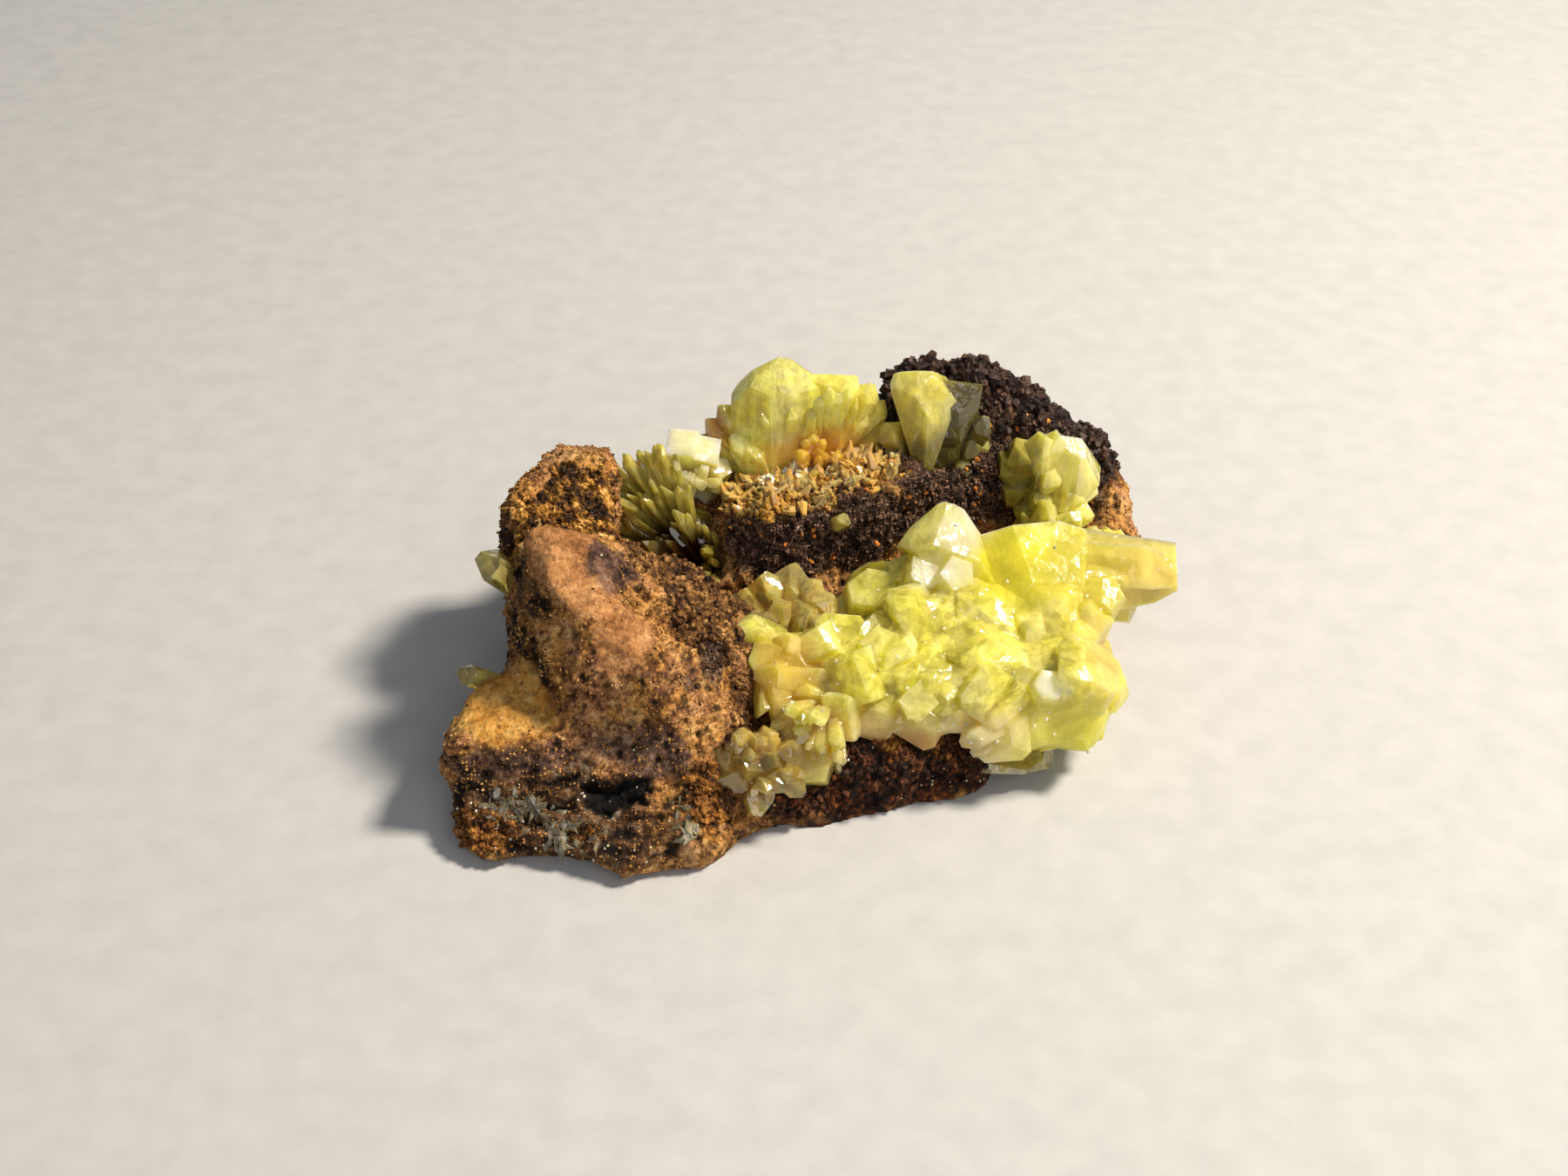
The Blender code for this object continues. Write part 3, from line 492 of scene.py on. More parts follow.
colours = {
    "brown": [(0.34, "#321c0a"), (0.44, "#8e5e28"), (0.52, "#d09650"), (0.62, "#eaba76"), (0.74, "#f8dca0")],
    "patches": [(0.34, "#2a170e"), (0.46, "#86583a"), (0.56, "#c6925e"), (0.70, "#e8c294")],
    "sienna": [(0.32, "#643a1c"), (0.46, "#b07846"), (0.58, "#d49a62"), (0.70, "#eec28a")],
    "plum": [(0.34, "#1a0f0d"), (0.46, "#523830"), (0.56, "#8a6852"), (0.70, "#b89c86")],
    "ochre": [(0.30, "#a0601a"), (0.44, "#d4923a"), (0.58, "#eab660"), (0.72, "#fad898")],
    "golden": [(0.39, "#160b04"), (0.47, "#643e16"), (0.54, "#be8638"), (0.62, "#e6b45c"), (0.73, "#f8dc98")],
    # Painted shade: the ribbed faces get colours far darker than their crust, for the shade they lie in.
    "ribs": [(0.40, "#060301"), (0.49, "#281507"), (0.57, "#70481a"), (0.69, "#c48e48")],
    "crumbly": [
        (0.38, "#120904"), (0.48, "#462b15"), (0.56, "#7c542a"), (0.64, "#a87e48"), (0.72, "#d0ae76")
    ],
    "druse": [(0.34, "#63380e"), (0.46, "#b68432"), (0.56, "#e2b458"), (0.68, "#fcecaa")],
    "glassy": [(0.38, "#100906"), (0.46, "#3c2615"), (0.54, "#7c5632"), (0.60, "#7c7060"), (0.70, "#c8b89c")],
    # Partly painted shade and partly real rust: the ramp starts near black for the shade on the slab's low
    # front, and rises to the orange of its rust.
    "slab": [(0.37, "#080301"), (0.47, "#240d05"), (0.54, "#5e2c0e"), (0.61, "#a05a1c"), (0.71, "#d29444")],
    "orange": [(0.38, "#201006"), (0.47, "#6e4214"), (0.56, "#b07a2e"), (0.68, "#e2b664")],
    "goethite": [(0.40, "#0c0706"), (0.50, "#2a1914"), (0.58, "#4c362a"), (0.72, "#846e60")],
    # Painted shade: the hollow is only dented a little, and its near-black colours stand for the shade deep
    # inside it.
    "hollow": [(0.40, "#020101"), (0.60, "#0c0705"), (0.74, "#3a2a20")],
}
print("crusts:", ", ".join(colours))

# %% [markdown]
# ## One crust over another
# The brown crust is everywhere, and every other one is laid over it where its own zone says so, in the
# order of the list. The reddish patches have no zone: they come from a soft noise of their own.

# %% Layers of crust
PATCH_WIDTH = 3.33

patches = node(
    tree, "ShaderNodeTexNoise",
    {"Vector": place, "Scale": scale_for(PATCH_WIDTH), "Detail": 4.0, "Distortion": 1.2},
)
patches = node(
    tree, "ShaderNodeMapRange", {"Value": patches.outputs["Fac"], "From Min": 0.46, "From Max": 0.56}
)
crust = None
for name, stops in colours.items():
    ramp = node(tree, "ShaderNodeValToRGB", {"Fac": tone}, stops=stops)
    if crust is None:
        crust = ramp.outputs["Color"]
        continue
    if name == "patches":
        mask = patches.outputs["Result"]
    else:
        mask = node(tree, "ShaderNodeAttribute", attribute_name=name).outputs["Fac"]
    crust = node(
        tree, "ShaderNodeMix", {0: mask, MIX_A: crust, MIX_B: ramp.outputs["Color"]}, data_type="RGBA"
    ).outputs[MIX_OUT]
print(len(tree.nodes), "nodes so far")

# %% [markdown]
# ## Painted shade in seams and pores
# What makes a crust look rough is mostly the shade between its grains, and here that shade is painted
# into the colour. The relief that was stored at the vertices darkens the seams as painted shade, and a
# finer noise paints the shade of pores under a millimetre, which the smooth crusts, sienna and ochre,
# go without.

# %% Painted shade in seams and pores
PORE_WIDTH = 0.667

# Painted shade in the seams: the low parts of the stored relief darken the colour.
relief_map = node(tree, "ShaderNodeAttribute", attribute_name="relief")
painted_seam_shade = node(
    tree, "ShaderNodeMapRange",
    {"Value": relief_map.outputs["Fac"], "From Min": 0.14, "From Max": 0.42, "To Min": 0.14, "To Max": 1.0},
)
crust = node(
    tree, "ShaderNodeMix", {0: 1.0, MIX_A: crust, MIX_B: painted_seam_shade.outputs["Result"]},
    data_type="RGBA", blend_type="MULTIPLY",
).outputs[MIX_OUT]
# Painted shade in the pores: a fine noise darkens the colour to three tenths, except on the even crusts.
pores = node(
    tree, "ShaderNodeTexNoise",
    {"Vector": place, "Scale": scale_for(PORE_WIDTH), "Detail": 6.0, "Roughness": 0.7},
)
pores = node(tree, "ShaderNodeMapRange", {"Value": pores.outputs["Fac"], "From Min": 0.36, "From Max": 0.47})
shade = node(tree, "ShaderNodeMapRange", {"Value": pores.outputs["Result"], "To Min": 0.30, "To Max": 1.1})
even = node(tree, "ShaderNodeAttribute", attribute_name="even")
shade = node(
    tree, "ShaderNodeMix", {0: even.outputs["Fac"], MIX_A: shade.outputs["Result"], MIX_B: (1, 1, 1, 1)},
    data_type="RGBA",
)
crust = node(
    tree, "ShaderNodeMix", {0: 1.0, MIX_A: crust, MIX_B: shade.outputs[MIX_OUT]},
    data_type="RGBA", blend_type="MULTIPLY",
).outputs[MIX_OUT]
print(len(tree.nodes), "nodes with seams and pores")

# %% [markdown]
# ## Gloss and bump of the rock
# Light speckles are a little smoother than dark ones, and glitter faintly. Three bumps stand for what is
# too small to model: the pores, a powdery roughness and the round grains. A grain's Voronoi distance
# is 0 in its middle, so that bump is turned over. Solid goethite has a refractive index above 2, but an
# earthy crust is half air, so it looks duller than that, and both IOR and gloss are set lower.

# %% Gloss, bump and the finished rock
POWDER_WIDTH = GRAIN_WIDTH
PORE_DEPTH, POWDER_DEPTH, GRAIN_DEPTH = 0.30 * MM, 0.40 * MM, 0.20 * MM
CRUST_IOR, CRUST_GLOSS = 1.6, 0.2

roughness = node(
    tree, "ShaderNodeMapRange",
    {"Value": speckle.outputs["Fac"], "From Min": 0.35, "From Max": 0.65, "To Min": 0.95, "To Max": 0.6},
)
powder = node(
    tree, "ShaderNodeTexNoise",
    {"Vector": place, "Scale": scale_for(POWDER_WIDTH), "Detail": 5.0, "Roughness": 0.75},
)
bump = node(
    tree, "ShaderNodeBump", {"Height": pores.outputs["Result"], "Strength": 0.8, "Distance": PORE_DEPTH}
)
for height, strength, distance, turned in (
    (powder.outputs["Fac"], 1.0, POWDER_DEPTH, False), (grain.outputs["Distance"], 0.6, GRAIN_DEPTH, True)
):
    bump = node(
        tree, "ShaderNodeBump",
        {"Height": height, "Strength": strength, "Distance": distance, "Normal": bump.outputs["Normal"]},
        invert=turned,
    )
shader = node(
    tree, "ShaderNodeBsdfPrincipled",
    {
        "Base Color": crust, "Roughness": roughness.outputs["Result"], "Normal": bump.outputs["Normal"],
        "IOR": CRUST_IOR, "Specular IOR Level": CRUST_GLOSS,
    },
)
node(tree, "ShaderNodeOutputMaterial", {"Surface": shader.outputs["BSDF"]})
rock.name = "limonite_rock"
finish_piece(rock, limonite, ["limonite_matrix"])

# %% [markdown]
# ## Crumbs, needles and sugar
# A broken crust sheds crumbs, goethite ends in tiny black needles, and the terrace under the fan is
# sugared with minute honey crystals. Thousands of small shapes are merged into one mesh: each is a
# copy of one of a few master shapes, which is why the masters have only a dozen faces or so.

# %% Scattering small shapes
SUNK = 0.3
UNEVEN = 0.09
FULL_TURN = 6.3


def master(segments, top, height, seed, stretch=1.0):
    """A tiny crystal or crumb, one unit wide and sunk a little, with corners pushed about."""
    bm = bmesh.new()
    bmesh.ops.create_cone(bm, cap_ends=True, segments=segments, radius1=0.5, radius2=top, depth=height)
    bmesh.ops.translate(bm, vec=(0, 0, height * SUNK), verts=bm.verts)
    bmesh.ops.scale(bm, vec=(stretch, 1, 1), verts=bm.verts)
    dice = random.Random(seed)
    for vertex in bm.verts:
        vertex.co += Vector([dice.uniform(-UNEVEN, UNEVEN) for _ in range(3)])
    return mesh_from(bm, "master")


def scatter(name, masters, places, weights, count, sizes, lean, material, seed):
    """Copies of the masters, as one piece.

    places are points in mm and normals, weights say how likely each is, sizes are the least and the
    most width in mm, and lean is how far a copy strays from the normal.
    """
    dice = random.Random(seed)
    chances = np.cumsum(weights)
    merged = bmesh.new()
    for _ in range(count):
        point, out = places[int(np.searchsorted(chances, dice.random() * chances[-1]))]
        way = Vector(out) + Vector([dice.gauss(0, lean) for _ in range(3)])
        size = dice.uniform(*sizes) * MM
        turn = Matrix.Rotation(dice.uniform(0, FULL_TURN), 4, "Z")
        turn = way.to_track_quat("Z", "Y").to_matrix().to_4x4() @ turn
        shape = dice.choice(masters).copy()
        shape.transform(Matrix.Translation((Vector(point) + DRAWN_ABOUT) * MM) @ turn @ Matrix.Scale(size, 4))
        merged.from_mesh(shape)
        bpy.data.meshes.remove(shape)
    finish_piece(new_object(name, mesh_from(merged, name)), material)


# %% [markdown]
# ## Colours of the small shapes
# Loose grains show their mineral more purely than the crust does: golden and rusty limonite, tan dust,
# black goethite. They broke or grew with rough faces, so none of them has more than a faint sheen. One
# function makes them all, because they only differ in their colours, in their dullness and in how wide
# the changes of tone are. That is about a millimetre, so that a crumb differs from the next one.

# %% Materials of the small shapes
CRUMB_BUMP = 0.2 * MM


def earthy(name, width, stops, roughness=0.8, specular=0.3):
    """A dull mineral whose tone changes over a width in mm, from crumb to crumb."""
    material, tree = new_material(name)
    place = node(tree, "ShaderNodeTexCoord").outputs["Object"]
    tone = node(
        tree, "ShaderNodeTexNoise",
        {"Vector": place, "Scale": scale_for(width), "Detail": 4.0, "Roughness": 0.8},
    )
    colour = node(tree, "ShaderNodeValToRGB", {"Fac": tone.outputs["Fac"]}, stops=stops)
    bump = node(
        tree, "ShaderNodeBump", {"Height": tone.outputs["Fac"], "Strength": 0.6, "Distance": CRUMB_BUMP}
    )
    shader = node(
        tree, "ShaderNodeBsdfPrincipled",
        {
            "Base Color": colour.outputs["Color"], "Roughness": roughness, "Specular IOR Level": specular,
            "Normal": bump.outputs["Normal"],
        },
    )
    node(tree, "ShaderNodeOutputMaterial", {"Surface": shader.outputs["BSDF"]})
    return material


tan = earthy(
    "tan_crumb_limonite", 1.11, [(0.34, "#140a05"), (0.46, "#4a2e16"), (0.56, "#835c2e"), (0.70, "#d4aa6c")]
)
golden = earthy(
    "golden_limonite", 1.43, [(0.38, "#180c04"), (0.48, "#5e3c12"), (0.57, "#b48236"), (0.70, "#f0cc84")]
)
rust = earthy(
    "rust_limonite", 1.43, [(0.38, "#1c0d05"), (0.48, "#603814"), (0.60, "#aa7430"), (0.74, "#e4b468")]
)
dark_rust = earthy(
    "dark_rust_limonite", 1.43, [(0.38, "#100603"), (0.50, "#33190b"), (0.62, "#6a3c1a"), (0.76, "#ac783a")]
)
bright_rust = earthy("bright_rust_limonite", 1.43, [(0.36, "#8a4412"), (0.52, "#c87a2a"), (0.70, "#eab866")])
grit = earthy(
    "brown_limonite_grit", 0.909,
    [(0.36, "#2a180a"), (0.46, "#7e5628"), (0.56, "#bc8c4e"), (0.70, "#eac486")],
    roughness=0.85, specular=0.25,
)
knobbly = earthy(
    "goethite_knobs", 1.11, [(0.38, "#0a0504"), (0.50, "#281610"), (0.62, "#523a2c"), (0.76, "#907868")],
    roughness=0.6,
)
velvet = earthy(
    "goethite_needles", 0.769, [(0.36, "#180e09"), (0.48, "#4e3628"), (0.60, "#8a6a54"), (0.74, "#c6b09c")],
    roughness=0.6, specular=0.35,
)
print(len((tan, golden, rust, dark_rust, bright_rust, grit, knobbly, velvet)), "earthy materials")

# %% [markdown]
# ## Crumbs and needles in place
# Each kind of grain has a zone where it is likely, and the places are the vertices of the skin. The
# grit is a tenth to a quarter of a millimetre, as sand is. Real goethite needles are finer than
# that, so they are drawn coarse enough to show. Along the rim the goethite grew as knobs of up to a
# millimetre instead. None of it is let close to the floor, where it would lift the stone. Any whole
# number does as a seed, so the length of the name is used.

# %% Crumbs and needles
crumbs = [master(4, 0.32, 0.8, 0), master(5, 0.36, 0.7, 1), master(5, 0.22, 0.9, 2), master(6, 0.38, 0.6, 3)]
sand = [master(4, 0.32, 0.8, 5), master(4, 0.24, 0.6, 6), master(3, 0.30, 0.8, 7)]
needles = [master(3, 0.12, 1.5, 11), master(4, 0.22, 1.1, 12), master(4, 0.12, 1.7, 13)]
rock_places = list(zip(moved, normal))
bare = np.clip(1 - zones["goethite"] - zones["even"] - zones["slab"] - zones["hollow"], 0, 1)
clear_of_floor = soft_step(spot[:, 2], 0.4, 1.4)
on_rim = soft_step(spot[:, 1], 11.0, 13.0) * soft_step(spot[:, 2], 5.0, 8.0)
for name, masters, where, count, sizes, lean, material in (
    ("tan_crumbs", crumbs, zones["crumbly"] ** 2 * (1 - zones["goethite"]), 2600, (0.22, 0.72), 0.45, tan),
    ("golden_crumbs", crumbs, zones["golden"] ** 2 * (1 - zones["ribs"]), 1300, (0.22, 0.60), 0.45, golden),
    ("rust_crumbs", crumbs, zones["slab"] ** 2 * (0.35 + facing_up), 1300, (0.16, 0.55), 0.45, dark_rust),
    ("orange_crumbs", crumbs, zones["orange"] ** 2, 900, (0.20, 0.55), 0.45, rust),
    ("terrace_crumbs", crumbs, zones["druse"] ** 2, 1500, (0.20, 0.52), 0.45, golden),
    ("rock_grit", sand, bare, 15000, (0.08, 0.24), 0.5, grit),
    ("cliff_specks", crumbs, (zones["goethite"] * facing_front) ** 2, 90, (0.20, 0.42), 0.5, bright_rust),
    ("dark_needles", needles, zones["goethite"] ** 2 * (1 - 0.8 * on_rim), 8000, (0.10, 0.25), 0.8, velvet),
    ("rim_knobs", crumbs, zones["goethite"] ** 2 * on_rim, 1500, (0.35, 0.95), 0.55, knobbly),
):
    scatter(
        name, masters, rock_places, where * clear_of_floor, count, sizes, lean, material,
        seed=len(name),
    )

# %% [markdown]
# ## Growing a crystal
# An adamite crystal is a short prism with a roof of two sloping faces, hipped at its ends. It is made
# as a stone cutter would make it: start with a box and saw off what doesn't belong. Each saw cut is
# one bisect whose open side is closed again, so the solid stays watertight, which glass needs.

# %% Sawing a crystal
EDGE_TRIM = 0.34
ROOT_TAPER = math.radians(9)
RIDGE_WIDTH = 0.35
SHOULDER_HEIGHT = 0.75


def saw(bm, point, facing):
    """Cuts away what lies beyond a plane and closes the cut."""
    parts = bm.verts[:] + bm.edges[:] + bm.faces[:]
    cut = bmesh.ops.bisect_plane(bm, geom=parts, plane_co=point, plane_no=facing, clear_outer=True)
    rim = [part for part in cut["geom_cut"] if isinstance(part, bmesh.types.BMEdge)]
    if len(rim) > 2:
        bmesh.ops.contextual_create(bm, geom=rim)


def crystal(root, tip, width, thick, roll=0.0, roof=48.0, hip=62.0, lean=0.0):
    """A crystal from root to tip, in mm. roof and hip are slopes in degrees, and lean shifts the ridge."""
    bm = bmesh.new()
    bmesh.ops.create_cube(bm, size=1.0)
    start, end = Vector(root), Vector(tip)
    length = (end - start).length
    bmesh.ops.scale(bm, vec=(width, thick, length), verts=bm.verts)
    bmesh.ops.translate(bm, vec=(0, 0, length / 2), verts=bm.verts)
    half, deep = width / 2, thick / 2
    for side in (-1, 1):
        for face in (-1, 1):
            corner = Vector((side * half * (1 - EDGE_TRIM), face * deep, 0))
            saw(bm, corner, Vector((side * thick, face * width, 0)).normalized())
        slope = math.radians(roof)
        saw(bm, Vector((lean * half, 0, length)), Vector((side * math.sin(slope), 0, math.cos(slope))))
        slope = math.radians(hip)
        ridge_end = Vector((0, side * deep * RIDGE_WIDTH, length))
        saw(bm, ridge_end, Vector((0, side * math.sin(slope), math.cos(slope))))
        shoulder = Vector((side * half, 0, length * SHOULDER_HEIGHT))
        saw(bm, shoulder, Vector((side * math.cos(ROOT_TAPER), 0, -math.sin(ROOT_TAPER))))
    turn = (end - start).to_track_quat("Z", "Y").to_matrix().to_4x4()
    at = Matrix.Translation(start + DRAWN_ABOUT) @ turn @ Matrix.Rotation(math.radians(roll), 4, "Z")
    bmesh.ops.transform(bm, matrix=Matrix.Scale(MM, 4) @ at, verts=bm.verts)
    bmesh.ops.recalc_face_normals(bm, faces=bm.faces)
    return bm


sample = crystal((0, 0, 0), (0, 0, 5), 2.0, 1.5)
volume = sample.calc_volume() / MM ** 3
print("a crystal of 5 mm has", len(sample.faces), "faces and", round(volume, 1), "cubic mm")
sample.free()

# %% [markdown]
# ## Stubs, blocks and directions
# Where a crystal is grown in, only its end is seen, so a stub is a short cone with a flat end, set by the
# middle of that end and the way it faces. A large crystal with many unequal facets is a block that is
# sawn along one plane after another. A direction reads best as a compass angle and a slope.

# %% Stubs, blocks and directions
def stub(point, facing, top, base, depth, sides=6, spin=0.0, stretch=1.0):
    """The end of a crystal, in mm: a flat face at a point, and sides that widen into the mass below."""
    bm = bmesh.new()
    bmesh.ops.create_cone(bm, cap_ends=True, segments=sides, radius1=base, radius2=top, depth=depth)
    bmesh.ops.scale(bm, vec=(stretch, 1, 1), verts=bm.verts)
    bmesh.ops.translate(bm, vec=(0, 0, -depth / 2), verts=bm.verts)
    turn = Vector(facing).to_track_quat("Z", "Y").to_matrix().to_4x4()
    at = Matrix.Translation(Vector(point) + DRAWN_ABOUT) @ turn @ Matrix.Rotation(math.radians(spin), 4, "Z")
    bmesh.ops.transform(bm, matrix=Matrix.Scale(MM, 4) @ at, verts=bm.verts)
    return bm


def cut_block(centre, size, cuts):
    """A block in mm, sawn along planes. Each cut is a point on the plane and the way it faces."""
    bm = bmesh.new()
    bmesh.ops.create_cube(bm, size=size)
    bmesh.ops.translate(bm, vec=centre, verts=bm.verts)
    for point, facing in cuts:
        saw(bm, Vector(point), Vector(facing).normalized())
    bmesh.ops.recalc_face_normals(bm, faces=bm.faces)
    bmesh.ops.transform(bm, matrix=Matrix.Scale(MM, 4) @ Matrix.Translation(DRAWN_ABOUT), verts=bm.verts)
    return bm


def heading(azimuth, elevation):
    """A direction. Azimuth turns from +X towards +Y, and elevation is above level, in degrees."""
    turn, rise = math.radians(azimuth), math.radians(elevation)
    return Vector((math.cos(rise) * math.cos(turn), math.cos(rise) * math.sin(turn), math.sin(rise)))


print("north-west, 45 degrees up:", [round(value, 2) for value in heading(135, 45)])

# %% [markdown]
# ## Closed voids
# Where crystals are joined, they can shut off a space between them. Such a bubble can't be seen, but it is
# a shell of its own inside the glass. Its faces point into it, so its volume comes out below zero, and
# that is how it is told from the crystals, whose shells have a volume above zero.

# %% Finding bubbles
def bubbles(bm):
    """The faces of the closed voids that a union leaves."""
    left, found = set(bm.faces), []
    while left:
        shell = [left.pop()]
        for face in shell:
            beside = {other for edge in face.edges for other in edge.link_faces} & left
            left -= beside
            shell += sorted(beside, key=lambda other: other.index)
        volume = sum(face.calc_area() * face.normal.dot(face.calc_center_median()) for face in shell) / 3
        if volume < 0:
            found += shell
    return found


# %% [markdown]
# ## Crystal groups
# Crystals that start close together grow into each other, so a group is the union of its crystals
# with a massive heart. Glass needs that union: where two closed shells only overlap, light bends at
# walls that aren't there. The manifold solver copes with crystals whose faces are nearly level. A
# shell that reaches the floor is first cut off just above it, and each group has its own seeded dice.

# %% A growing group
FLOOR_GAP = 0.1 * MM
CORE_SMOOTHING = 5


class Group:
    """The crystals of one group, as separate shells until they are fused. All sizes are in mm.

    ground holds the places on the core that crystals may stand on, and taken those that are in use.
    """

    def __init__(self, seed):
        self.shells = []
        self.ground = []
        self.taken = []
        self.random = random.Random(seed)

    def heart(self, centre, radii, detail=2):
        """A hidden round mass that the crystals stand on."""
        bm = bmesh.new()
        bmesh.ops.create_icosphere(bm, subdivisions=detail, radius=1.0)
        bmesh.ops.scale(bm, vec=radii, verts=bm.verts)
        at = Matrix.Translation(Vector(centre) + DRAWN_ABOUT)
        bmesh.ops.transform(bm, matrix=Matrix.Scale(MM, 4) @ at, verts=bm.verts)
        self.shells.append(bm)

    def crystal(self, root, tip, width, thick, **shape):
        """Adds a roofed crystal."""
        self.shells.append(crystal(root, tip, width, thick, **shape))

    def stub(self, point, facing, top, base, depth, **shape):
        """Adds the flat end of a crystal."""
        self.shells.append(stub(point, facing, top, base, depth, **shape))

    def block(self, centre, size, cuts):
        """Adds a crystal that is sawn facet by facet."""
        self.shells.append(cut_block(centre, size, cuts))

    def core(self, cad_node, voxel, sink, ceiling):
        """The group's mass: the CAD shape with soft edges, shrunk so that the facets stand on it."""
        made = fine_skin(cad_node, voxel * MM, CORE_SMOOTHING)
        bm = bmesh.new()
        bm.from_mesh(made.data)
        for vertex in bm.verts:
            vertex.co -= vertex.normal * sink * MM
            vertex.co.z = min(vertex.co.z, ceiling * MM)
        bm.normal_update()
        for face in bm.faces:
            self.ground.append((face.calc_center_median() / MM - DRAWN_ABOUT, face.normal.copy()))
        self.shells.append(bm)
        bpy.data.objects.remove(made)

    def pave(self, spacing, width, proud, tilt, depth=2.6, lowest=-0.5):
        """Low crystals all over the core, each with sloping faces that lean a little their own way."""
        spread = self.random.uniform
        for point, normal in self.random.sample(self.ground, len(self.ground)):
            if normal.z < lowest or any((point - other).length < gap for other, gap in self.taken):
                continue
            self.taken.append((point, spacing))
            lean = Vector([self.random.gauss(0, tilt) for _ in range(3)])
            way = (normal + lean).normalized()
            wide = width * spread(0.75, 1.3)
            self.crystal(
                point - way * depth, point + way * (proud * spread(0.4, 1.0)), wide,
                wide * spread(0.65, 1.0), roll=spread(0, 180), roof=spread(16, 34), hip=spread(22, 48),
                lean=spread(-0.9, 0.9),
            )

    def spray(self, root, azimuth, elevation, length, width, jitter=8.0):
        """A crystal a little off the given direction and size."""
        spread = self.random.uniform
        way = heading(azimuth + spread(-jitter, jitter), elevation + spread(-jitter, jitter))
        reach = length * spread(0.9, 1.1)
        wide = width * spread(0.85, 1.15)
        self.crystal(
            root, Vector(root) + way * reach, wide, wide * spread(0.6, 0.9),
            roll=spread(0, 180), roof=spread(40, 54), hip=spread(56, 70), lean=spread(-0.4, 0.4),
        )

    def fused(self, name):
        """The whole group as one watertight piece."""
        for shell in self.shells:
            if min(vertex.co.z for vertex in shell.verts) < FLOOR_GAP:
                saw(shell, Vector((0, 0, FLOOR_GAP)), Vector((0, 0, -1)))
        first, *rest = [new_object(name, mesh_from(shell, name)) for shell in self.shells]
        for other in rest:
            union = first.modifiers.new("Union", "BOOLEAN")
            union.operation = "UNION"
            union.solver = "MANIFOLD"
            union.object = other
        make_permanent(first)
        for other in rest:
            bpy.data.objects.remove(other)
        bm = bmesh.new()
        bm.from_mesh(first.data)
        bmesh.ops.delete(bm, geom=bubbles(bm), context="FACES")
        bm.to_mesh(first.data)
        bm.free()
        first.name = name
        return first


# %% [markdown]
# ## Where a tint belongs
# Adamite changes colour within a crystal, with the copper and the iron in it, so its materials need
# tints that lie in one place. A Mapping node brings an ellipsoid to unit size, and the distance from its
# middle then says how strong the tint is. A second helper darkens a colour by a pattern.

# %% Tints and darkening
def near(tree, place, centre, radii, edge=0.5):
    """1 near a point, and a soft fall to 0 around its radii, in mm: where a tint belongs."""
    shift = (Vector(centre) + DRAWN_ABOUT) * MM
    scaled = node(
        tree, "ShaderNodeMapping",
        {"Vector": place, "Location": shift, "Scale": [radius * MM for radius in radii]},
        vector_type="TEXTURE",
    )
    reach = node(tree, "ShaderNodeVectorMath", {0: scaled.outputs["Vector"]}, operation="LENGTH")
    mask = node(
        tree, "ShaderNodeMapRange",
        {"Value": reach.outputs["Value"], "From Min": 1 + edge, "From Max": 1 - edge},
        interpolation_type="SMOOTHSTEP",
    )
    return mask.outputs["Result"]


def darken(tree, colour, value, least, most):
    """The colour times a number that runs from least to most as the value runs over its middle."""
    shade = node(
        tree, "ShaderNodeMapRange",
        {"Value": value, "From Min": 0.3, "From Max": 0.7, "To Min": least, "To Max": most},
    )
    return node(
        tree, "ShaderNodeMix", {0: 1.0, MIX_A: colour, MIX_B: shade.outputs["Result"]},
        data_type="RGBA", blend_type="MULTIPLY",
    ).outputs[MIX_OUT]


# %% [markdown]
# ## Small facets
# A grown face is a patchwork of facets a millimetre wide or less, and each of them flashes at its own
# moment when the stone is turned. A bump map can't do that, because it has no flat parts. So every
# Voronoi cell shifts the normal of the face by a vector of its own, and only then comes a fine bump.

# %% Facets that flash
HILLOCK_DEPTH = 0.12 * MM


def glints(tree, place, cell, tilt, height):
    """A normal that leans its own way in each cell. cell is in mm, and height is a finer bump."""
    cells = node(tree, "ShaderNodeTexVoronoi", {"Vector": place, "Scale": scale_for(cell)})
    lean = node(
        tree, "ShaderNodeVectorMath", {0: cells.outputs["Color"], 1: (0.5, 0.5, 0.5)}, operation="SUBTRACT"
    )
    lean = node(tree, "ShaderNodeVectorMath", {0: lean.outputs["Vector"], "Scale": tilt}, operation="SCALE")
    bump = node(tree, "ShaderNodeBump", {"Height": height, "Strength": 0.35, "Distance": HILLOCK_DEPTH})
    leaning = node(
        tree, "ShaderNodeVectorMath", {0: bump.outputs["Normal"], 1: lean.outputs["Vector"]}, operation="ADD"
    )
    facet = node(tree, "ShaderNodeVectorMath", {0: leaning.outputs["Vector"]}, operation="NORMALIZE")
    return facet.outputs["Vector"]


# %% [markdown]
# ## Adamite as a material
# Adamite grew from solution with smooth, glassy faces, and its refractive index of about 1.72 is high, so
# it sparkles. A clear crystal is plain transmission, and its colour deepens with thickness, so it is
# absorption inside the volume. Most crystals on this stone are veiled: tiny inclusions scatter the
# light inside, which the eye takes for a waxy glow. So a share of the body is glass, the rest is mostly
# subsurface scattering, and a cloud noise says which is which. Blue light goes a third as deep as the
# rest, so the glow is yellow. Fine growth lines run up the crystals, half a millimetre apart.

# %% Clear to cloudy adamite
ADAMITE_IOR = 1.72
CLOUD_WIDTH, WIDE_VEIL, NARROW_VEIL = 2.63, 1.5, 0.6
LINE_WIDTH, RIPPLE_WIDTH = 0.526, 0.667
LINE_STRETCH, LINE_HEIGHT = (1, 1, 0.07), 8
GLOW_DEPTHS = (1.0, 0.95, 0.35)
FIRST_STOP, STOP_RANGE = 0.34, 0.32


